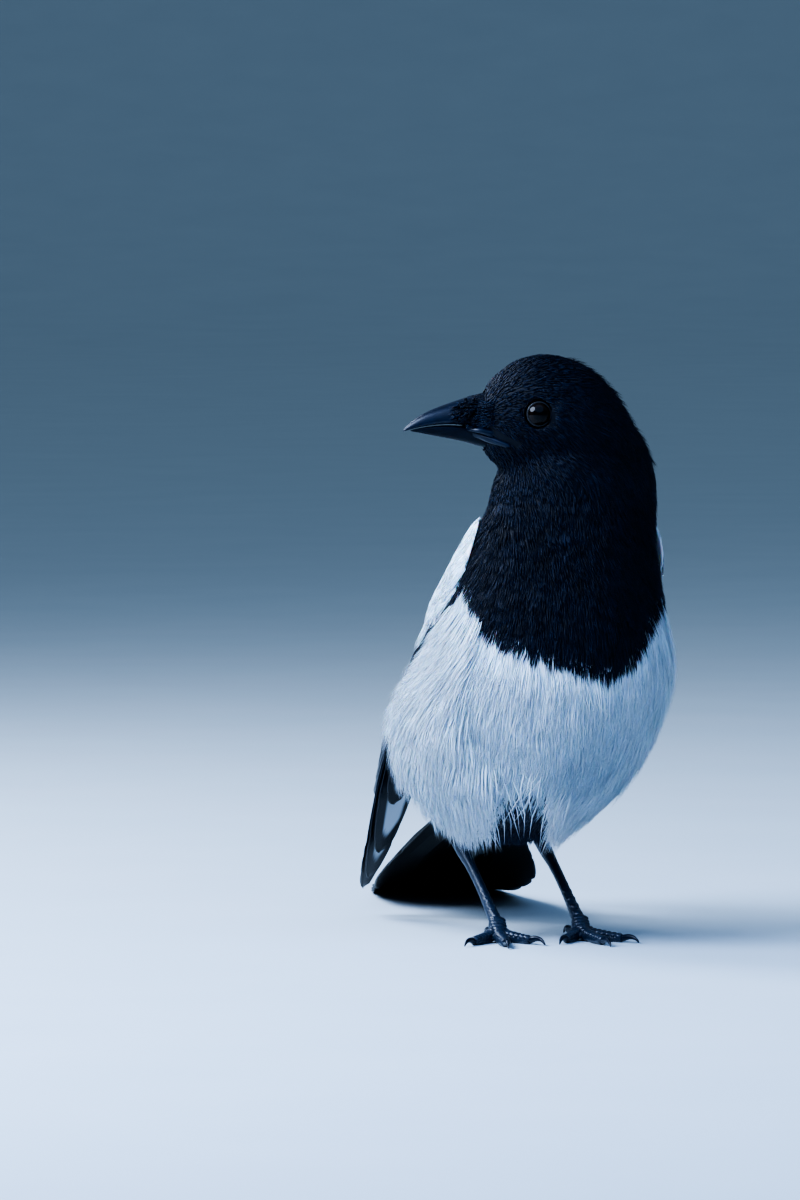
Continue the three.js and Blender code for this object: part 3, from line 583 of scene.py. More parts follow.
def strand_points(spine, length, width, spread, count, rise, splay):
    place, normal, way = spine
    side = unit(np.cross(normal, way))
    seat = np.linspace(-1, 1, count) if count > 1 else np.zeros(1)
    reach = 1 - splay * rng.random((len(place), count))
    wobble = WOBBLE * rng.standard_normal((len(place), count))
    rings = []
    for step, share in enumerate(STRAND_WIDTHS):
        t = step / STEPS
        fan = (seat[None] + wobble * t) * (spread[:, None] * fan_width(t))
        lift = ROOT_SINK + rise[:, None] * t - OUTER_DROP * np.abs(seat)[None] * spread[:, None]
        along = (reach - 1) * (length / STEPS)[:, None] * step
        middle = strand_place(spine, side, step, fan, lift, along)
        half = (width * share / 2)[:, None, None]
        across = side[:, None, step] * half
        ridge = normal[:, None, step] * half * STRAND_RIDGE
        rings += [middle - across, middle + ridge, middle + across]
    fan = (seat[None] + wobble) * (spread[:, None] * TIP_FAN)
    tip = strand_place(spine, side, STEPS, fan, rise[:, None] + ROOT_SINK, (reach - 1) * length[:, None])
    return np.stack([*rings, tip], 2).reshape(-1, 3)


def strand_faces(strands):
    faces = [(0, 2, 1)]
    for step in range(STEPS - 1):
        a, b = 3 * step, 3 * step + 3
        for j in range(3):
            k = (j + 1) % 3
            faces += [(a + j, a + k, b + k), (a + j, b + k, b + j)]
    last = 3 * (STEPS - 1)
    faces += [(last + j, last + (j + 1) % 3, 3 * STEPS) for j in range(3)]
    return (np.array(faces)[None] + POINTS_EACH * np.arange(strands)[:, None, None]).reshape(-1, 3)


def triangle_mesh(name, points, index):
    """A mesh from arrays of points and of faces, all with the same number of corners."""
    mesh = bpy.data.meshes.new(name)
    mesh.vertices.add(len(points))
    mesh.vertices.foreach_set("co", points.astype(np.float32).ravel())
    mesh.loops.add(index.size)
    mesh.loops.foreach_set("vertex_index", index.astype(np.int32).ravel())
    mesh.polygons.add(len(index))
    mesh.polygons.foreach_set("loop_start", np.arange(len(index), dtype=np.int32) * index.shape[1])
    mesh.update(calc_edges=True)
    smooth_shading(mesh)
    return mesh


# %% [markdown]
# The bake map puts every feather on its own small patch, at its root's place on an unwrap of the body.
# The body is close to a barrel, so it is unrolled as one: the way round its upright middle line gives U,
# and the height gives V.

# %% Bake map
PATCH = 0.003
BARREL_MIDDLE = ([34, 76, 120, 190], [20, 4, -17, -23])  # height, and how far back the barrel's middle lies


def spread_out(values):
    return 0.01 + 0.97 * (values - values.min()) / max(values.max() - values.min(), 1e-6)


def unrolled(points):
    x, y, z = points.T
    u = np.arctan2(x + 3, np.interp(z, *BARREL_MIDDLE) - y) / (2 * math.pi) + 0.5
    return np.stack([spread_out(u), spread_out(z)], 1)


def bake_patches(mesh, roots, owner, index):
    local = to_bird(coordinates(mesh)) - roots[owner]
    size = max(np.abs(local).max(), 1e-6)
    offset = np.stack([local @ [0.7, 0.7, 0], local @ [0.3, -0.3, 0.9]], 1) / size * PATCH / 2
    uv = (unrolled(roots)[owner] + PATCH / 2 + offset)[index.ravel()]
    layer = mesh.uv_layers.new(name="OFBake")
    layer.data.foreach_set("uv", uv.astype(np.float32).ravel())


# %% [markdown]
# One function makes a region's coat: it plants the roots, grows the spines, builds the strands and gives
# each feather its marking and its own tone. Feathers rooted in the belly's middle are made darker: this
# is painted shade over the middle of the belly, with a little grey-brown dirt.

# %% Small feathers
# the darkened middle of the belly: painted shade, with a little dirt
BELLY_SHADE_AT = np.array([8, -50, 70])
BELLY_SHADE_REACH = np.array([14, 22, 24])
BELLY_SHADE_GREY = 0.5


def belly_shade_and_dirt(points):
    return BELLY_SHADE_GREY * np.exp(-np.linalg.norm((points - BELLY_SHADE_AT) / BELLY_SHADE_REACH, axis=1) ** 2)


def feather_piece(name, spine, length, width, spread, count, rise, white, shade, splay=0.35):
    points = strand_points(spine, length, width, spread, count, rise, splay)
    roots = spine[0][:, 0]
    index = strand_faces(len(roots) * count)
    mesh = triangle_mesh(name, to_world(points), index)
    set_float(mesh, "white", np.repeat(white, count * POINTS_EACH))
    set_float(mesh, "shade", np.repeat(shade, count * POINTS_EACH))
    bake_patches(mesh, roots, np.repeat(np.arange(len(roots)), count * POINTS_EACH), index)
    mesh_object(name, mesh, PLUMAGE)
    print(f"{name}: {len(roots)} feathers, {len(index)} triangles")


def coat(name, surface, region, per_mm2, length, width, rise, count=1, spread=0.0, wander=0.06, white=None,
         pull=0.0, lie=lie_at, hug=ALWAYS):
    roots = surface.roots(region, per_mm2)
    size = rng.normal(1, 0.12, len(roots)).clip(0.7, 1.35)
    long = (length(roots) if callable(length) else length) * size
    spine = surface.spines(roots, long, wander, lie, pull, hug)
    lift = rise * rng.uniform(0.6, 1.4, len(roots))
    marking = whiteness(roots, 1.0) if white is None else np.full(len(roots), float(white))
    # each feather's own tone, lowered in the belly's middle as painted shade with a little dirt
    shade = (rng.beta(2.2, 1.4, len(roots)) - belly_shade_and_dirt(roots)).clip(0, 1)
    feather_piece(name, spine, long, width * size,
                  spread * size, count, lift, marking, shade)


# %% [markdown]
# The coat is laid region by region, because feathers differ: on the face they are a millimetre or two and
# as fine as velvet, on the neck and breast they are small and pointed, and on the belly and flanks they
# are long, loose and silky, with free strands that hang over the edges. Bands of each region overlap, so
# that no edge shows.

# %% Head, neck and back
body = Surface(skin)
HEAD_LEVEL = 163
RUMP_FROM = 46
FACE_LENGTHS = ([4, 18, 40, 62], [2.2, 4.0, 6.5, 8.5])  # distance from the face, feather length
BILL_HOLE = dict(ahead=16, half=6, top=4, low=-11)  # where the bill leaves the skin
BILL_FRONT = 17.5
GAPE_LINE = ([8, 21], [-10.0, -6.2])  # height of the mouth's line, behind the bill's root
GAPE_ROOM = ([8, 21], [1.2, 4.4])


def head_parts(p):
    local = p - HEAD_AT
    return local @ AHEAD, local @ LEFTWARD, local @ UP


def is_head(p):
    return p[:, 2] > HEAD_LEVEL + 0.1 * p[:, 0]


def clear_of_eyes(p):
    eyes = [head_point(0, side * EYE_SIDE, 0) for side in (1, -1)]
    return np.all([np.linalg.norm(p - eye, axis=1) > EYE_RADIUS + 1.0 for eye in eyes], axis=0)


def clear_of_bill(p):
    forward, side, height = head_parts(p)
    hole = (forward > BILL_HOLE["ahead"]) & (np.abs(side) < BILL_HOLE["half"])
    hole &= (height < BILL_HOLE["top"]) & (height > BILL_HOLE["low"])
    from_line = np.abs(height - np.interp(forward, *GAPE_LINE))
    gape = (forward > 7.5) & (np.abs(side) > 5) & (from_line < np.interp(forward, *GAPE_ROOM))
    return ~hole & ~gape & (forward <= BILL_FRONT)


def is_face(p):
    return is_head(p) & clear_of_eyes(p) & clear_of_bill(p)


def is_nape(p):
    return is_head(p) & (head_parts(p)[0] < -10) & (p[:, 2] > 176)


def is_breast(p):
    return ~is_head(p) & (whiteness(p) < 0.5) & (p[:, 1] < 2) & (p[:, 2] > 80)


def is_back(p):
    return ~is_head(p) & (p[:, 1] > -4) & (p[:, 2] > 70) & (whiteness(p) < 0.5)


def is_rump(p):
    return (p[:, 1] > RUMP_FROM) & (p[:, 2] < 84)


def face_length(p):
    return np.interp(from_face(p), *FACE_LENGTHS)


coat("coat_head", body, is_face, per_mm2=1.4, length=face_length, width=0.7, rise=0.6, wander=0.08)
coat("coat_nape", body, is_nape, per_mm2=0.25, length=8, width=0.5, rise=1.6, count=2, spread=0.8, white=0,
     wander=0.25, hug=1)
coat("coat_neck_breast", body, is_breast, per_mm2=0.34, length=8.5, width=0.55, rise=1.1, count=4,
     spread=1.3, wander=0.1, white=0)


# %% [markdown]
# The belly's feathers are the longest and loosest of the body, like silk. On the flanks they fold up over
# the wing's lower edge, further on the right side, where the photo shows the wing tucked into them.

# %% Belly and flanks
BELLY_MIDDLE = -5
FLANK_LIFT = {1: 2.2, -1: 4.6}


def is_belly(p, side):
    return ~is_head(p) & (whiteness(p) > 0.5) & ((p[:, 0] - BELLY_MIDDLE) * side > 0)


def is_flank(p, side):
    outer = (p[:, 0] * side > 26) & (p[:, 1] > -38) & (p[:, 1] < 12)
    return outer & (p[:, 2] > 66) & (p[:, 2] < 124) & (whiteness(p) > 0.5)


for name, side in (("left", 1), ("right", -1)):
    coat(f"coat_belly_{name}", body, lambda p, s=side: is_belly(p, s), per_mm2=0.165, length=22, width=0.45,
         rise=1.2, count=7, spread=2.5, wander=0.12, white=1)
    coat(f"coat_flank_{name}", body, lambda p, s=side: is_flank(p, s), per_mm2=0.12, length=23, width=0.5,
         rise=FLANK_LIFT[side], count=8, spread=3.0, wander=0.1, white=1)
coat("coat_back", body, is_back, per_mm2=0.2, length=12, width=1.0, rise=1.2, count=3, spread=1.3)
coat("coat_rump", body, is_rump, per_mm2=0.2, length=16, width=1.1, rise=1.4, count=3, spread=1.6, white=0)


# %% [markdown]
# Round the legs the feathers hang free. Black ones fill the vent and the gap between the thighs, black
# tufts cover the tops of the legs, and over them hangs a skirt of white flank feathers that lean towards
# the legs. A few loose white strands fall across the dark gap, as in the photo.

# %% Vent, thighs and skirt
FEET_MIDDLE = -2.4
FOOT_SPREAD = 15.5
FOOT_X = {"left": FEET_MIDDLE + FOOT_SPREAD, "right": FEET_MIDDLE - FOOT_SPREAD}
HEEL_SHIFT = -4.5
HEEL_BACK = 37.0
HEEL_HEIGHT = 33.5
ANKLE_HEIGHT = 6.5
VENT_FROM = 14


def is_vent(p):
    return (p[:, 2] < 66) & (p[:, 1] > VENT_FROM) & (whiteness(p) < 0.5) & ~is_rump(p)


def is_gap(p):
    return (p[:, 2] < GAP_HEIGHT + 8) & (p[:, 1] <= VENT_FROM) & (whiteness(p) < 0.5)


def is_hanging(p):
    low = (p[:, 2] < 49) & (p[:, 1] > -12) & (p[:, 1] < 32)
    return low & (off_gap(p) < 22) & (whiteness(p) < 0.5)


def is_thigh(p):
    legs = [np.abs(p[:, 0] - FOOT_X[name] - HEEL_SHIFT) < 9 for name in FOOT_X]
    return (legs[0] | legs[1]) & (p[:, 2] < 50) & (p[:, 1] > 10)


def is_wisp(p):
    low = (p[:, 2] < 68) & (p[:, 2] > 50) & (p[:, 1] < 5)
    return low & (off_gap(p) < 24) & (whiteness(p) > 0.5)


def is_skirt(p):
    low = (p[:, 2] < 60) & (p[:, 2] > 42) & (p[:, 1] < 18)
    return low & (whiteness(p) > 0.5) & (off_gap(p) < 46) & (off_gap(p) > GAP_HALF + 1)


def wisp_lie(points, normal):
    across = across_body(points) - GAP_MIDDLE
    return unit(np.stack([-0.5 * np.sign(across), 0 * across - 0.1, 0 * across - 1], 1))


def skirt_lie(points, normal):
    across = across_body(points) - GAP_MIDDLE
    lean = np.where(across > 0, -0.75, 0.3) * np.clip(np.abs(across) / 20, 0.2, 1.2)
    return unit(np.stack([lean, 0 * across + 0.3, 0 * across - 1], 1))


coat("coat_vent", body, lambda p: is_vent(p) | is_gap(p), per_mm2=0.25, length=12, width=0.9, rise=1.4,
     count=3, spread=1.3, white=0, pull=0.1)
coat("coat_hanging", body, is_hanging, per_mm2=0.4, length=9, width=0.6, rise=1.2, count=3, spread=1.1,
     wander=0.15, white=0, hug=0, pull=0.3)
coat("coat_thighs", body, is_thigh, per_mm2=0.6, length=10, width=0.6, rise=1.6, count=3, spread=0.8,
     white=0, pull=0.15, hug=2)
coat("coat_wisps", body, is_wisp, per_mm2=0.022, length=24, width=0.4, rise=1.5, count=2, spread=1.6,
     wander=0.4, white=1, lie=wisp_lie, hug=1, pull=0.12)
coat("coat_skirt", body, is_skirt, per_mm2=0.15, length=18, width=0.45, rise=1.0, count=7, spread=2.2,
     wander=0.14, white=1, lie=skirt_lie, hug=1)


# %% [markdown]
# A folded wing lies on a curved sheet that wraps the side of the body. Along the sheet's lower edge run
# the long primaries, above them the secondaries, and over both the coverts in rows. The white shoulder
# feathers cover the wing's root. The sheet is a formula from a few named sizes, and every large feather
# is laid on it.

# %% The wing's sheet
WRIST = np.array([-31.0, 130.0])
WING_TIP = np.array([105.0, 10.0])
WING_LIFT = {1: math.radians(13), -1: 0.0}
WING_SIDES = ([-30, 0, 41.4, 81.3, 121.4, 181.4, 230], [20, 29.5, 35.5, 35.5, 34.5, 33.5, 32])
LEFT_BEND = (2.5, 70)  # how much further the left wrist stands out, and where along the wing that ends
WING_RADII = ([-25, 0, 40, 80, 120, 200], [62, 60, 50, 42, 50, 80])
TRUNK_MIDDLES = ([34, 54, 65, 76, 86, 97, 108, 122, 130, 145, 156, 163],
                 [-6.5, -7.8, -7.7, -6.8, -4.9, -2.2, -0.9, -0.4, -0.2, 1.6, 3.8, 5])


def eased(value, low, high):
    """0 below low, 1 above high and a smooth curve between."""
    t = np.clip((value - low) / (high - low), 0, 1)
    return t * t * (3 - 2 * t)


def wing_point(side, along, up, out):
    line = (WING_TIP - WRIST) / np.linalg.norm(WING_TIP - WRIST)
    c, s = math.cos(WING_LIFT[side]), math.sin(WING_LIFT[side])
    line = np.array([line[0] * c - line[1] * s, line[0] * s + line[1] * c])
    radius = np.interp(along, *WING_RADII)
    angle = up / radius
    inward = radius * (np.cos(angle) - 1) + out * np.cos(angle)
    rise = (radius + out) * np.sin(angle)
    y = WRIST[0] + along * line[0]
    z = WRIST[1] + along * line[1]
    bend = LEFT_BEND[0] * (1 - eased(along, 0, LEFT_BEND[1])) if side > 0 else 0
    x = np.interp(z, *TRUNK_MIDDLES) + side * (np.interp(along, *WING_SIDES) + bend + inward)
    return np.stack([x, y - rise * line[1], z + rise * line[0]], -1)


# %% [markdown]
# A large feather is a thin closed vane: a grid for its upper face, a copy of it half a millimetre below,
# and a rim that joins them. The grid is cupped across, its edges carry a few small splits, and its shaft
# is raised along the middle. One function builds it from a formula that says where any point of the vane
# lies.

# %% Large feathers
ROOT_GROWS = 0.25  # share of the length in which a vane widens from its root
TIP_NARROWS = 0.62  # share from which it narrows to its tip
SHAFT_WIDTH = 0.09
SPLIT_WIDTH = 0.012


def vane_outline(t, blunt):
    grow = 0.4 + 0.6 * np.minimum(1, t / ROOT_GROWS)
    fall = np.where(t > TIP_NARROWS, 1 - ((t - TIP_NARROWS) / (1 - TIP_NARROWS)) ** blunt * 0.97, 1.0)
    return grow * np.sqrt(np.clip(fall, 0, 1))


def large_vane(place, length, width, rows=34, columns=10, lean=0.0, blunt=2.6, thickness=0.35, shaft=0.35,
               splits=3):
    """Points of one vane. place(along, across, out) lays them on the feather's sheet."""
    t = np.linspace(0, 1, rows)[:, None]
    v = np.linspace(-1, 1, columns + 1)[None]
    half = width / 2 * vane_outline(t, blunt)
    across = half * v
    along = length * t - np.abs(v) ** 2 * half * 0.35 * t
    for _ in range(splits):
        at, side, deep = rng.uniform(0.35, 0.95), rng.choice([-1, 1]), rng.uniform(0.05, 0.2)
        near = np.exp(-((t - at) / SPLIT_WIDTH) ** 2) * np.clip(side * v - 0.35, 0, 1)
        across = across - side * near * deep * width / 2
    ridge = shaft * np.exp(-((v - lean) / SHAFT_WIDTH) ** 2) * (1 - 0.7 * t)
    cup = -0.05 * width * v * v
    top = place(along, across, thickness / 2 + ridge + cup)
    low = place(along, across, -thickness / 2 + cup)
    return top, low, t + 0 * v, v + 0 * t, along + np.abs(across) * 0.9


def vane_faces(rows, columns):
    grid = np.arange(rows * columns).reshape(rows, columns)
    a, b, c, d = grid[:-1, :-1], grid[:-1, 1:], grid[1:, 1:], grid[1:, :-1]
    upper = np.stack([a, b, c, d], -1).reshape(-1, 4)
    lower = np.stack([d, c, b, a], -1).reshape(-1, 4) + rows * columns
    rim = np.concatenate([grid[0, :-1], grid[:-1, -1], grid[-1, :0:-1], grid[:0:-1, 0]])
    after = np.roll(rim, -1)
    wall = np.stack([after, rim, rim + rows * columns, after + rows * columns], -1)
    return np.concatenate([upper, lower, wall])


# %% Many vanes in one mesh
def outward(mesh):
    form = bmesh.new()
    form.from_mesh(mesh)
    bmesh.ops.recalc_face_normals(form, faces=form.faces)
    form.to_mesh(mesh)
    form.free()


def vane_map(t, v, number, cells):
    """Each vane's own cell of the bake map, with its upper face on the left and its lower on the right."""
    corner = np.array([number % cells, number // cells]) / cells
    face = np.stack([(v + 1) / 2 * 0.44, t * 0.92], -1).reshape(-1, 2)
    return [corner + (face + 0.02) / cells, corner + (face + [0.5, 0.02]) / cells]


def vanes_object(name, vanes, white, material):
    """Joins vanes in one mesh. white(v, t) gives each point's marking."""
    points, faces, uv = [], [], []
    marks = {"white": [], "shade": [], "along": [], "barb": []}
    cells = math.ceil(math.sqrt(len(vanes)))
    for number, (top, low, t, v, barbs) in enumerate(vanes):
        faces.append(vane_faces(*t.shape) + number * 2 * t.size)
        points += [top.reshape(-1, 3), low.reshape(-1, 3)]
        tone = np.full(t.size, rng.uniform(0.25, 1))
        for key, values in zip(marks, (white(v, t), tone, t, barbs)):
            marks[key] += [values.ravel()] * 2
        uv += vane_map(t, v, number, cells)
    faces = np.concatenate(faces)
    mesh = triangle_mesh(name, to_world(np.concatenate(points)), faces)
    for key, values in marks.items():
        set_float(mesh, key, np.concatenate(values))
    layer = mesh.uv_layers.new(name="OFBake")
    layer.data.foreach_set("uv", np.concatenate(uv)[faces.ravel()].astype(np.float32).ravel())
    piece = mesh_object(name, mesh, material)
    outward(mesh)
    print(f"{name}: {len(vanes)} vanes, {2 * len(faces)} triangles")
    return piece


def on_wing(side, root, tip, out, tilt=0.2):
    run = np.array(tip, float) - np.array(root, float)
    length = np.linalg.norm(run)
    run /= length

    def place(along, across, lift):
        a = root[0] + run[0] * along - run[1] * across
        up = root[1] + run[1] * along + run[0] * across
        return wing_point(side, a, up, out - tilt * across + lift)
    return place, length


# %% [markdown]
# The primaries of a magpie are its badge in flight: each has a long white patch on its inner web inside a
# black border. Folded, they stack at the wing's lower edge and only the outer webs and slivers of white
# show. The right wing hangs a little in the photo, so its primaries are tilted and show their undersides.
# The marking is a formula on the feather's own coordinates.

# %% Primaries
PRIMARY_TIPS = [125, 157, 175, 184, 185, 179, 170, 161]
TILTS = {1: [0.2] * 8, -1: [1.2, 1.15, 1.1, 1.0, 0.8, 0.5, 0.3, 0.2]}


def primary_white(v, t):
    inner = np.clip((v + 0.3) * 14, 0, 1) * np.clip((0.78 - v) * 12, 0, 1)
    reach = np.clip((t - 0.35) * 12, 0, 1) * np.clip((0.94 - 0.2 * (v - 0.25) ** 2 - t) * 30, 0, 1)
    return inner * reach


def all_black(v, t):
    return 0 * v


def primaries(name, side):
    vanes = []
    for i, (tip, tilt) in enumerate(zip(PRIMARY_TIPS, TILTS[side])):
        place, length = on_wing(side, [48 + i, 5 + 1.9 * i], [tip, 2.1 * i - 2], -2.4 + 0.35 * i, tilt)
        vanes.append(large_vane(place, length, 14.5, rows=56, columns=12, lean=-0.35, blunt=2.2, splits=4))
    return vanes_object(f"primaries_{name}", vanes, primary_white, WING_VANE)


# %% [markdown]
# Above the primaries lie the secondaries, and their roots are covered by three rows of coverts, each row
# shorter than the one below it, like tiles on a roof. They are all black with a blue gloss.

# %% Secondaries and coverts
SECONDARY_COUNT = 9
COVERT_ROWS = (  # count, start, length and how far out
    (11, 46, 36, 4.0),
    (12, 30, 26, 5.0),
    (13, 14, 24, 5.4),
)
COVERT_WIDTH = 9.5
COVERT_BAND = (-1, 36)  # the lowest root's place up the sheet, and how far the highest is above it


def secondaries(name, side):
    vanes = []
    for share in np.linspace(0, 1, SECONDARY_COUNT):
        root, tip = [52 - 14 * share, 8 + 22 * share], [140 - 32 * share, 15 + 25 * share]
        place, length = on_wing(side, root, tip, 2.4 + 0.9 * share)
        vanes.append(large_vane(place, length, 17, rows=44, columns=12, lean=-0.15, blunt=3.2, splits=4))
    return vanes_object(f"secondaries_{name}", vanes, all_black, WING_VANE)


def coverts(name, side):
    vanes = []
    for row, (count, start, reach, out) in enumerate(COVERT_ROWS):
        for share in np.linspace(0, 1, count):
            up = COVERT_BAND[0] + COVERT_BAND[1] * share
            root = [start - 9 * share * share, 0.5 + 0.88 * up]
            place, length = on_wing(side, root, [root[0] + reach, up + 1.5], out - 0.5 * share, tilt=0.28)
            width = COVERT_WIDTH - row
            vanes.append(large_vane(place, length, width, rows=20, columns=8, blunt=3, shaft=0.2, splits=2))
    return vanes_object(f"coverts_{name}", vanes, all_black, WING_VANE)


for name, side in (("left", 1), ("right", -1)):
    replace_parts(primaries(name, side), f"wing_{name}")
    secondaries(name, side)
    coverts(name, side)


# %% [markdown]
# The arm and the shoulder pad are flesh under the coverts, built as flattened balls on the same sheet.
# They close the wing where the coverts part. Their feathers are laid by the sheet's formula rather than
# on the pads' own surface, so they run on past the pads' rims and lie flat on the wing.

# %% Pads of arm and shoulder
SHOULDER = dict(along=26, up=23, reach=27, span=12.5, thick=2, out=5.2, taper=0.35)
SHOULDER_OUT = {1: 7.2, -1: 5.2}  # the left shoulder feathers are lifted a little
ARM = dict(along=35, up=14, reach=43, span=20.5, thick=4.4, out=0.8, taper=0)
PAD_COVER = 0.35


def pad_object(name, side, pad, white):
    form = bmesh.new()
    bmesh.ops.create_uvsphere(form, u_segments=32, v_segments=20, radius=1)
    ball = np.array([v.co[:] for v in form.verts])
    along = pad["along"] + pad["reach"] * ball[:, 0]
    up = pad["up"] + pad["span"] * (1 - pad["taper"] * ball[:, 0]) * ball[:, 1]
    places = wing_point(side, along, up, pad["out"] + pad["thick"] * ball[:, 2])
    for vertex, place in zip(form.verts, to_world(places)):
        vertex.co = place
    mesh = finished_mesh(form, name)
    set_float(mesh, "white", np.full(len(mesh.vertices), float(white)))
    set_float(mesh, "shade", np.full(len(mesh.vertices), 0.5))
    piece = mesh_object(name, mesh, PLUMAGE)
    print(name, len(mesh.polygons), "faces")
    return piece


def pad_level(pad, along, up):
    """How far out a feather lies that covers the pad, and beyond the pad's rim."""
    x = (along - pad["along"]) / pad["reach"]
    y = (up - pad["up"]) / (pad["span"] * (1 - pad["taper"] * x.clip(-1, 1)))
    return pad["out"] + PAD_COVER + pad["thick"] * np.sqrt(np.clip(1 - x * x - y * y, 0, 1))


# %% Shoulder and arm feathers
def pad_spines(side, pad, along, up, length, slant):
    rows = []
    for step in range(STEPS + 1):
        a = along + length * step / STEPS * np.cos(slant)
        u = up - length * step / STEPS * np.sin(slant)
        level = pad_level(pad, a, u)
        place = wing_point(side, a, u, level)
        way = unit(wing_point(side, a + np.cos(slant), u - np.sin(slant), level) - place)
        over = wing_point(side, a, u, level + 1) - place
        rows.append((place, laid_flat(over, way), way))
    return columns_of(rows)


def pad_coat(name, side, pad, per_mm2, length, width, rise, count, spread, white):
    total = int(math.pi * pad["reach"] * pad["span"] * per_mm2)
    radius, angle = np.sqrt(rng.random(total)), rng.uniform(0, 2 * math.pi, total)
    x, y = radius * np.cos(angle), radius * np.sin(angle)
    along = pad["along"] + pad["reach"] * x
    up = pad["up"] + pad["span"] * (1 - pad["taper"] * x) * y
    size = rng.normal(1, 0.1, total).clip(0.75, 1.3)
    slant = 0.12 * y + 0.05 * rng.standard_normal(total)
    spine = pad_spines(side, pad, along, up, length * size, slant)
    lift = rise * rng.uniform(0.7, 1.3, total)
    shade = rng.beta(2.6, 1.2, total)
    feather_piece(name, spine, length * size, width * size,
                  spread * size, count, lift, np.full(total, float(white)), shade, splay=0.15)


for name, side in (("left", 1), ("right", -1)):
    shoulder_pad = dict(SHOULDER, out=SHOULDER_OUT[side])
    pad_object(f"arm_{name}", side, ARM, white=False)
    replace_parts(pad_object(f"shoulder_{name}", side, shoulder_pad, white=True), f"scapulars_{name}")
    pad_coat(f"coat_shoulder_{name}", side, shoulder_pad, per_mm2=0.42, length=14, width=0.9, rise=0.25,
             count=7, spread=2.4, white=True)
    pad_coat(f"coat_arm_{name}", side, ARM, per_mm2=0.16, length=9, width=1.0, rise=0.3, count=3,
             spread=1.2, white=False)


# %% [markdown]
# The tail has twelve feathers in six pairs, the middle pair longest, so it ends in steps. It leaves the
# rump at a slope and its tips rest on the floor.

# %% Tail
TAIL_ROOT = np.array([-6.0, 64.0])
TAIL_YAW = math.radians(9)
TAIL_SLOPES = (math.radians(24), math.radians(3))
TAIL_LENGTHS = [238, 221, 200, 176, 152, 128]
TAIL_SIDES = [3.5, 12, 14.6, 17.2, 19.6, 21.5]
TAIL_WIDTHS = [26, 22, 21, 20, 18.5, 17]
TAIL_LAYER = 0.95
TAIL_CROWN = 0.008
TAIL_SPREADS = 90  # the feathers have spread apart this far from the root
TAIL_FLATTENS = (120, 230)  # where the arched tail turns flat
TAIL_STEPS = 240
TAIL_START = 4

share = (np.arange(TAIL_STEPS) + 0.5) / TAIL_STEPS
slopes = TAIL_SLOPES[0] + (TAIL_SLOPES[1] - TAIL_SLOPES[0]) * share
tail_along = np.linspace(0, TAIL_LENGTHS[0], TAIL_STEPS + 1)
tail_run = np.concatenate([[0], np.cumsum(np.cos(slopes))]) * TAIL_LENGTHS[0] / TAIL_STEPS
tail_drop = np.concatenate([[0], np.cumsum(np.sin(slopes))]) * TAIL_LENGTHS[0] / TAIL_STEPS
TAIL_TOP = tail_drop[-1] + 0.3


def tail_point(along, side, down):
    run = np.interp(along, tail_along, tail_run)
    x = TAIL_ROOT[0] + run * math.sin(TAIL_YAW) + side * math.cos(TAIL_YAW)
    y = TAIL_ROOT[1] + run * math.cos(TAIL_YAW) - side * math.sin(TAIL_YAW)
    z = TAIL_TOP - np.interp(along, tail_along, tail_drop) - down
    return np.stack([x + 0 * z, y + 0 * z, np.maximum(z, 0.05)], -1)


def on_tail(side, pair):
    layer = (0 if side > 0 else 1) if pair == 0 else pair + 1

    def place(along, across, lift):
        over = side * TAIL_SIDES[pair] * (0.25 + 0.75 * eased(along, 0, TAIL_SPREADS)) + across
        arch = TAIL_CROWN * over * over * (1 - eased(along, *TAIL_FLATTENS))
        return tail_point(along + TAIL_START, over, layer * TAIL_LAYER + arch - lift)
    return place


vanes = []
for side in (-1, 1):
    for pair, length in enumerate(TAIL_LENGTHS):
        vanes.append(large_vane(on_tail(side, pair), length - TAIL_START, TAIL_WIDTHS[pair], rows=84,
                                columns=16, lean=0.25 * side, blunt=3.4, thickness=0.4, shaft=0.5, splits=6))
tail = vanes_object("tail_feathers", vanes, all_black, TAIL_VANE)
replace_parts(tail, "tail")


# %% [markdown]
# The bill is two horn sheaths that close on the line of the mouth. The solid halves already have its true
# outline, so each is copied, its loose faces are merged, and a subdivision surface rounds the facets.

# %% Bill and claws
TOES = ("inner", "middle", "outer", "hind")


def rounded_copy(node, material, levels=2):
    piece = mesh_object(f"{node}_smooth", joined_nodes(f"{node}_smooth", [node]), material)
    applied(piece, ("SUBSURF", dict(levels=levels, render_levels=levels)))
    smooth_shading(piece.data)
    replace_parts(piece, node)
    print(node, len(piece.data.polygons), "faces")
    return piece


bill_upper = rounded_copy("bill_upper", HORN)
bill_lower = rounded_copy("bill_lower", MATT_SHADED_HORN)
for name in ("left", "right"):
    for toe in TOES:
        rounded_copy(f"claw_{toe}_{name}", HORN)


# %% [markdown]
# A bird's eye is a wet dark globe, and its lids are thin rims of bare skin that hold it. The globe is a
# sphere with a finer grid, and each lid ring is spun from a small round section, then pressed close to
# the eye.

# %% Eyes and lids
LID_RADIUS = 4.15
LID_THICK = 0.45
LID_OUT = 2.45


def looking(side, out):
    """Puts a form on the line that an eye looks along, with its +Z turned that way."""
    turn = Vector(LEFTWARD * side).to_track_quat("Z", "Y").to_matrix().to_4x4()
    return Matrix.Translation(Vector(to_world(head_point(0, side * out, 0)))) @ turn


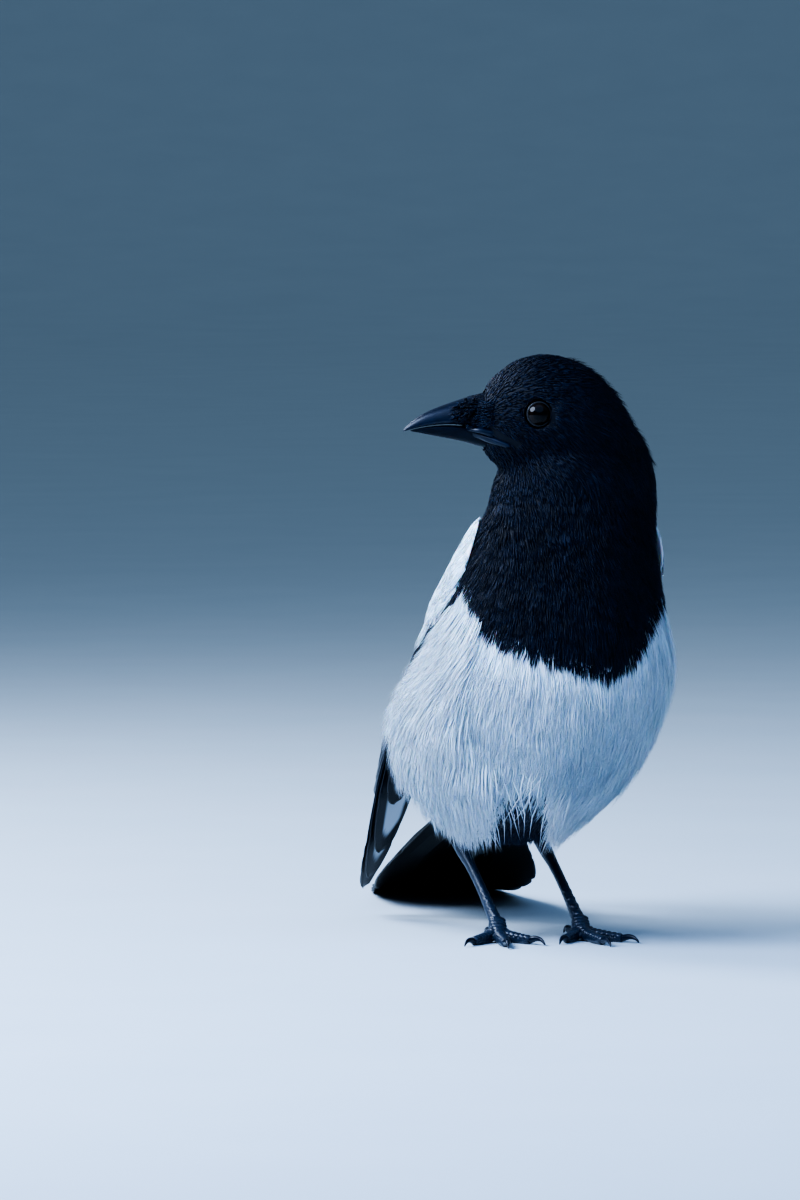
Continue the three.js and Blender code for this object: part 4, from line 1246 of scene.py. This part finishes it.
def eye_object(name, side):
    form = bmesh.new()
    bmesh.ops.create_uvsphere(form, u_segments=64, v_segments=48, radius=EYE_RADIUS * MM)
    bmesh.ops.transform(form, matrix=looking(side, EYE_SIDE), verts=form.verts)
    mesh = finished_mesh(form, name)
    local = to_bird(coordinates(mesh)) - head_point(0, side * EYE_SIDE, 0)
    look = local @ (LEFTWARD * side)
    off_axis = np.linalg.norm(local - look[:, None] * LEFTWARD * side, axis=1)
    set_float(mesh, "centre", np.where(look > 0, off_axis / EYE_RADIUS, 1))
    return mesh_object(name, mesh, EYE)


def lid_object(name, side):
    form = bmesh.new()
    section = bmesh.ops.create_circle(form, segments=10, radius=LID_THICK * MM,
                                      matrix=Matrix.Rotation(math.pi / 2, 4, "X"))["verts"]
    bmesh.ops.translate(form, verts=section, vec=(LID_RADIUS * MM, 0, 0))
    bmesh.ops.spin(form, geom=list(form.edges) + list(form.verts), cent=(0, 0, 0), axis=(0, 0, 1), steps=48,
                   angle=2 * math.pi, use_merge=True)
    bmesh.ops.remove_doubles(form, verts=form.verts, dist=0.01 * MM)
    bmesh.ops.transform(form, matrix=looking(side, EYE_SIDE + LID_OUT), verts=form.verts)
    return mesh_object(name, finished_mesh(form, name), LID_SKIN)


for name, side in (("left", 1), ("right", -1)):
    eye = eye_object(f"eyeball_{name}", side)
    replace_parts(eye, f"eye_{name}")
    lid_object(f"lids_{name}", side)
print("eye", 2 * EYE_RADIUS, "mm across, lid ring", 2 * LID_RADIUS, "mm")


# %% [markdown]
# A magpie's nostrils lie hidden under stiff bristles that point forward over the root of the bill. They
# are planted on the upper half of the bill, in a wedge on each side that ends in a point, and are combed
# forward.

# %% Nostril bristles
WEDGE_ENDS = (12, 28.5)
WEDGE_TOP = ([15, 19.5, 20, 28.5], [20, 20, 5.5, -1.6])  # the highest roots, by place along the bill
WEDGE_LOW = ([13, 28.5], [-6.2, -2.2])


def is_wedge(p):
    forward, _, height = head_parts(p)
    jag = 0.5 * rng.standard_normal(len(p))
    inside = (forward + jag < WEDGE_ENDS[1]) & (forward > WEDGE_ENDS[0])
    inside &= height + jag < np.interp(forward, *WEDGE_TOP)
    return inside & (height + jag > np.interp(forward, *WEDGE_LOW))


def is_bill_root(p):
    forward, _, height = head_parts(p)
    return (forward > 14.5) & (np.abs(height) < 4.5)


def bristle_lie(points, normal):
    return laid_flat(AHEAD - 0.22 * UP + 0 * points, normal)


def tuft_lie(points, normal):
    return unit(normal * 0.3 + AHEAD - 0.25 * UP)


coat("nostril_bristles", Surface(bill_upper), is_wedge, per_mm2=5, length=3.6, width=0.34, rise=0.3,
     white=0, lie=bristle_lie)
coat("bristle_tufts", body, is_bill_root, per_mm2=3, length=4.5, width=0.4, rise=0.1, wander=0.08, white=0,
     lie=tuft_lie, hug=0)


# %% [markdown]
# Behind the bill's root its two edges run on as narrow lips of bare horn, down to the corner of the mouth
# below the eye. Each lip is an oval section swept along a fair curve on the cheek, and its front end
# sinks into the bill, so the horn seems to grow out of it. A curve object with a bevel could do the same,
# but its section couldn't lean with the cheek.

# %% Corners of the mouth
LIPS = [  # forward and height of both ends, half width at the front and at the back, thickness
    ((25, -4.8), (8.6, -9.3), 2.4, 0.9, 1.2),
    ((25, -8.3), (8.6, -10.9), 2.0, 0.8, 1.05),
]
LIP_RINGS = 16
LIP_SIDES = 12
LIP_SINKS = 1.4  # how deep the front end lies in the bill
HEAD_HALF = ([8, 18, 24], [10, 8.4, 6.6])  # half the head's width, by place along it
FACE_SHEETS = [body, Surface(bill_upper), Surface(bill_lower)]


def on_face(guess):
    """The nearest place on the skin or either half of the bill."""
    found = [sheet.nearest(guess) for sheet in FACE_SHEETS]
    places, sides = np.array([f[0] for f in found]), np.array([f[1] for f in found])
    best = np.argmin(np.linalg.norm(places - guess, axis=2), axis=0)
    each = np.arange(len(guess))
    return places[best, each], sides[best, each]


def fair(t, values):
    """A smooth curve through rows of values that lie unevenly."""
    return np.stack([np.polyval(np.polyfit(t, column, 3), t) for column in values.T], 1)


def lip_ring(form, place, normal, along, half, thick):
    up = np.cross(along, normal)
    angles = 2 * math.pi * np.arange(LIP_SIDES) / LIP_SIDES
    return [form.verts.new(to_world(place + normal * thick * (0.1 + math.cos(a)) + up * half * math.sin(a)))
            for a in angles]


def add_lip(form, side, front, back, wide, narrow, thick):
    t = np.linspace(0, 1, LIP_RINGS)
    forward = front[0] + (back[0] - front[0]) * t
    height = front[1] + (back[1] - front[1]) * t
    out = side * np.interp(forward, *HEAD_HALF)
    guess = HEAD_AT + forward[:, None] * AHEAD + out[:, None] * LEFTWARD + height[:, None] * UP
    place, normal = on_face(guess)
    place, normal = fair(t, place), unit(fair(t, normal))
    along = unit(np.gradient(place, axis=0))
    half = (wide + (narrow - wide) * t) * np.interp(t, [0, 0.3, 0.94, 1], [0.6, 1, 1, 0.4])
    depth = thick * np.interp(t, [0, 0.35, 1], [0.5, 1, 1])
    place = place - normal * np.interp(t, [0, 0.35], [LIP_SINKS, 0])[:, None]
    rings = [lip_ring(form, *ring) for ring in zip(place, normal, along, half, depth)]
    for a, b in zip(rings, rings[1:]):
        for i in range(LIP_SIDES):
            j = (i + 1) % LIP_SIDES
            form.faces.new((a[i], a[j], b[j], b[i]))
    form.faces.new(rings[0])
    form.faces.new(rings[-1])


for name, side in (("left", 1), ("right", -1)):
    form = bmesh.new()
    for lip in LIPS:
        add_lip(form, side, *lip)
    mesh_object(f"mouth_corner_{name}", finished_mesh(form, f"mouth_corner_{name}"), HORN)
print("lips", len(LIPS), "on each side")


# %% [markdown]
# Legs and feet are scaly skin. The solids are melted together with a fine voxel remesh, smoothed, and
# then plated: a row of scutes down the front of the leg and along the top of each toe, each a flattened,
# overlapping shield.

# %% Legs and feet
LEG_VOXEL_MM = 0.45
LEG_SMOOTHING = 4
SCUTE_MM = 2.6


def scute(form, place, along, up, length, width, height):
    along, up = Vector(along).normalized(), Vector(up).normalized()
    side = up.cross(along).normalized()
    turn = Matrix((along, side, along.cross(side))).transposed().to_4x4()
    size = Matrix.Diagonal((length / 2 * MM, width / 2 * MM, height / 2 * MM, 1))
    bmesh.ops.create_uvsphere(form, u_segments=14, v_segments=8, radius=1,
                              matrix=Matrix.Translation(Vector(to_world(place))) @ turn @ size)


def leg_scutes(form, heel, ankle):
    length = np.linalg.norm(ankle - heel)
    run = (ankle - heel) / length
    front = np.cross(run, [1, 0, 0])
    front = front if front[1] < 0 or front[2] > 0 else -front
    count = int(length / SCUTE_MM / 1.5)
    for t in (np.arange(count) + 0.4) / count:
        place = heel + (ankle - heel) * t + front * (1.15 + 0.35 * abs(2 * t - 1))
        scute(form, place, run + front * 0.14, front, SCUTE_MM * 1.95, 3.7, 2.7)


def ankle_scutes(form, ankle):
    for t in np.linspace(0, 1, 4):
        place = ankle + [0, -1.6 - 3.2 * t, 0.9 - 2.9 * t]
        scute(form, place, [0, -0.8, -0.6], [0, -0.6, 0.8], 2.9, 6.2 - 0.5 * t, 3)


def toe_scutes(form, toe, name):
    foot = np.array([FOOT_X[name], 0.0])
    run = (middle_of(f"claw_{toe}_{name}") / MM - ORIGIN)[:2] - foot
    length = np.linalg.norm(run) - 4.5
    way = run / np.linalg.norm(run)
    count = int(length / SCUTE_MM * 1.15)
    for t in (np.arange(count) + 0.8) / count:
        top = np.interp(t, [0, 0.3, 0.65, 1], [6.2, 3.9, 3.2, 2.7])
        place = [*(foot + way * length * t), top - 0.55]
        scute(form, place, [*way, -0.25], [0, 0, 1], SCUTE_MM * 1.25, 4.5 - 1.2 * t, 2.5)


def scutes_object(name):
    form = bmesh.new()
    ankle = np.array([FOOT_X[name], 1.0, ANKLE_HEIGHT])
    leg_scutes(form, np.array([FOOT_X[name] + HEEL_SHIFT, HEEL_BACK, HEEL_HEIGHT]), ankle)
    ankle_scutes(form, ankle)
    for toe in TOES:
        toe_scutes(form, toe, name)
    return mesh_object(f"scutes_{name}", finished_mesh(form, f"scutes_{name}"), SCALE)


for name in ("left", "right"):
    nodes = [f"tarsus_{name}", f"foot_{name}"]
    leg = mesh_object(f"leg_{name}", joined_nodes(f"leg_{name}", nodes), SCALE)
    applied(leg, ("REMESH", dict(mode="VOXEL", voxel_size=LEG_VOXEL_MM * MM, adaptivity=0.0)),
            ("SMOOTH", dict(factor=0.5, iterations=LEG_SMOOTHING)))
    smooth_shading(leg.data)
    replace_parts(leg, *nodes)
    scutes = scutes_object(name)
    print(name, "leg", len(leg.data.polygons), "faces, scutes", len(scutes.data.polygons))


# %% [markdown]
# The set is plain: a wide pale floor that curves up to a low wall all round, as in a studio, so that the
# bird can be seen from any side and no horizon shows. It is painted matt and a little uneven in tone.

# %% Floor
FLOOR = dict(flat=8.0, height=6.0, steps=16)
FLOOR_HOLE = 0.02


def floor_mesh(flat, height, steps):
    form = bmesh.new()
    line = [form.verts.new((FLOOR_HOLE, 0, 0)), form.verts.new((flat, 0, 0))]
    for angle in math.pi / 2 * (np.arange(steps) + 1) / steps:
        line.append(form.verts.new((flat + height * math.sin(angle), 0, height * (1 - math.cos(angle)))))
    edges = [form.edges.new(pair) for pair in zip(line, line[1:])]
    bmesh.ops.spin(form, geom=line + edges, cent=(0, 0, 0), axis=(0, 0, 1), steps=96, angle=2 * math.pi,
                   use_merge=True)
    rim = [e for e in form.edges if e.is_boundary and e.verts[0].co.xy.length < 5 * FLOOR_HOLE]
    bmesh.ops.holes_fill(form, edges=rim)
    return finished_mesh(form, "floor")


def floor_paint():
    material, tree, shader = new_material("matt_paint_pale", Roughness=0.85, Specular_IOR_Level=0.1)
    place = add_node(tree, "ShaderNodeTexCoord").outputs["Object"]
    noise = add_node(tree, "ShaderNodeTexNoise", {"Vector": place, "Scale": 12.0, "Detail": 2.0})
    mix = add_node(tree, "ShaderNodeMix",
                   {0: noise.outputs["Fac"], 6: linear("#b5c2cc"), 7: linear("#bcc8d1")}, data_type="RGBA")
    tree.links.new(mix.outputs[2], shader.inputs["Base Color"])
    return material


floor = bpy.data.objects.new("floor", floor_mesh(**FLOOR))
bpy.context.scene.collection.objects.link(floor)
floor.data.materials.append(floor_paint())
print("floor", 2 * (FLOOR["flat"] + FLOOR["height"]), "m across")


# %% [markdown]
# One large soft key light stands up and to the left of the camera, a wide blue one above the camera fills
# the front and gives the eye and bill their soft gleam, and one behind draws the rim of light along the
# head and back. All are a little blue, as the overcast light in the photo is.

# %% Lights
def area_light(name, direction, distance, size, power, code):
    data = bpy.data.lights.new(name, "AREA")
    data.shape = "DISK"
    data.size = size
    data.energy = power
    data.color = linear(code)[:3]
    light = bpy.data.objects.new(name, data)
    target = Vector(to_world([0, 20, 110]))
    light.location = target + Vector(direction).normalized() * distance
    light.rotation_euler = (target - light.location).to_track_quat("-Z", "Y").to_euler()
    bpy.context.scene.collection.objects.link(light)


area_light("key", (-1.2, -0.45, 1.0), 1.3, 0.9, 38, "#cfe1ff")
area_light("fill", (-0.05, -0.9, 1.0), 1.3, 1.7, 10, "#8cb8ff")
area_light("rim", (-0.9, 1.0, 1.0), 1.3, 0.7, 20, "#d9e8ff")
world = bpy.data.worlds.new("pale_studio")
world.use_nodes = True
world.node_tree.nodes["Background"].inputs["Color"].default_value = linear("#a4bbd0")
world.node_tree.nodes["Background"].inputs["Strength"].default_value = 0.55
bpy.context.scene.world = world
bpy.context.scene.view_settings.view_transform = "AgX"
bpy.context.scene.view_settings.look = "AgX - High Contrast"


# %% [markdown]
# The photo was taken from a little to the bird's right, almost level with it, with a long lens. The
# camera stands three and a half metres off, turned 15 degrees, and its lens frames 432 mm of height at
# the bird, as the photo does.

# %% Camera
CAMERA_TURN = math.radians(-15)
CAMERA_RISE = math.radians(3)
CAMERA_AWAY = 3500
PHOTO = (800, 1200)
MM_PER_PIXEL = 0.36
FEET_PIXEL = (545, 940)
SENSOR_MM = 36

away = np.array([math.sin(CAMERA_TURN), -math.cos(CAMERA_TURN), math.tan(CAMERA_RISE)]) * math.cos(CAMERA_RISE)
right = np.array([math.cos(CAMERA_TURN), math.sin(CAMERA_TURN), 0])
upward = np.cross(right, -away)
aim = right * (PHOTO[0] / 2 - FEET_PIXEL[0]) * MM_PER_PIXEL
aim += upward * (FEET_PIXEL[1] - PHOTO[1] / 2) * MM_PER_PIXEL
data = bpy.data.cameras.new("camera")
data.sensor_fit = "VERTICAL"
data.sensor_height = SENSOR_MM
data.lens = SENSOR_MM * CAMERA_AWAY / (PHOTO[1] * MM_PER_PIXEL)
data.clip_end = 60
camera = bpy.data.objects.new("camera", data)
camera.location = to_world(aim + away * CAMERA_AWAY)
camera.rotation_euler = Vector(-away).to_track_quat("-Z", "Y").to_euler()
bpy.context.scene.collection.objects.link(camera)
bpy.context.scene.camera = camera
print("lens", round(data.lens, 1), "mm")
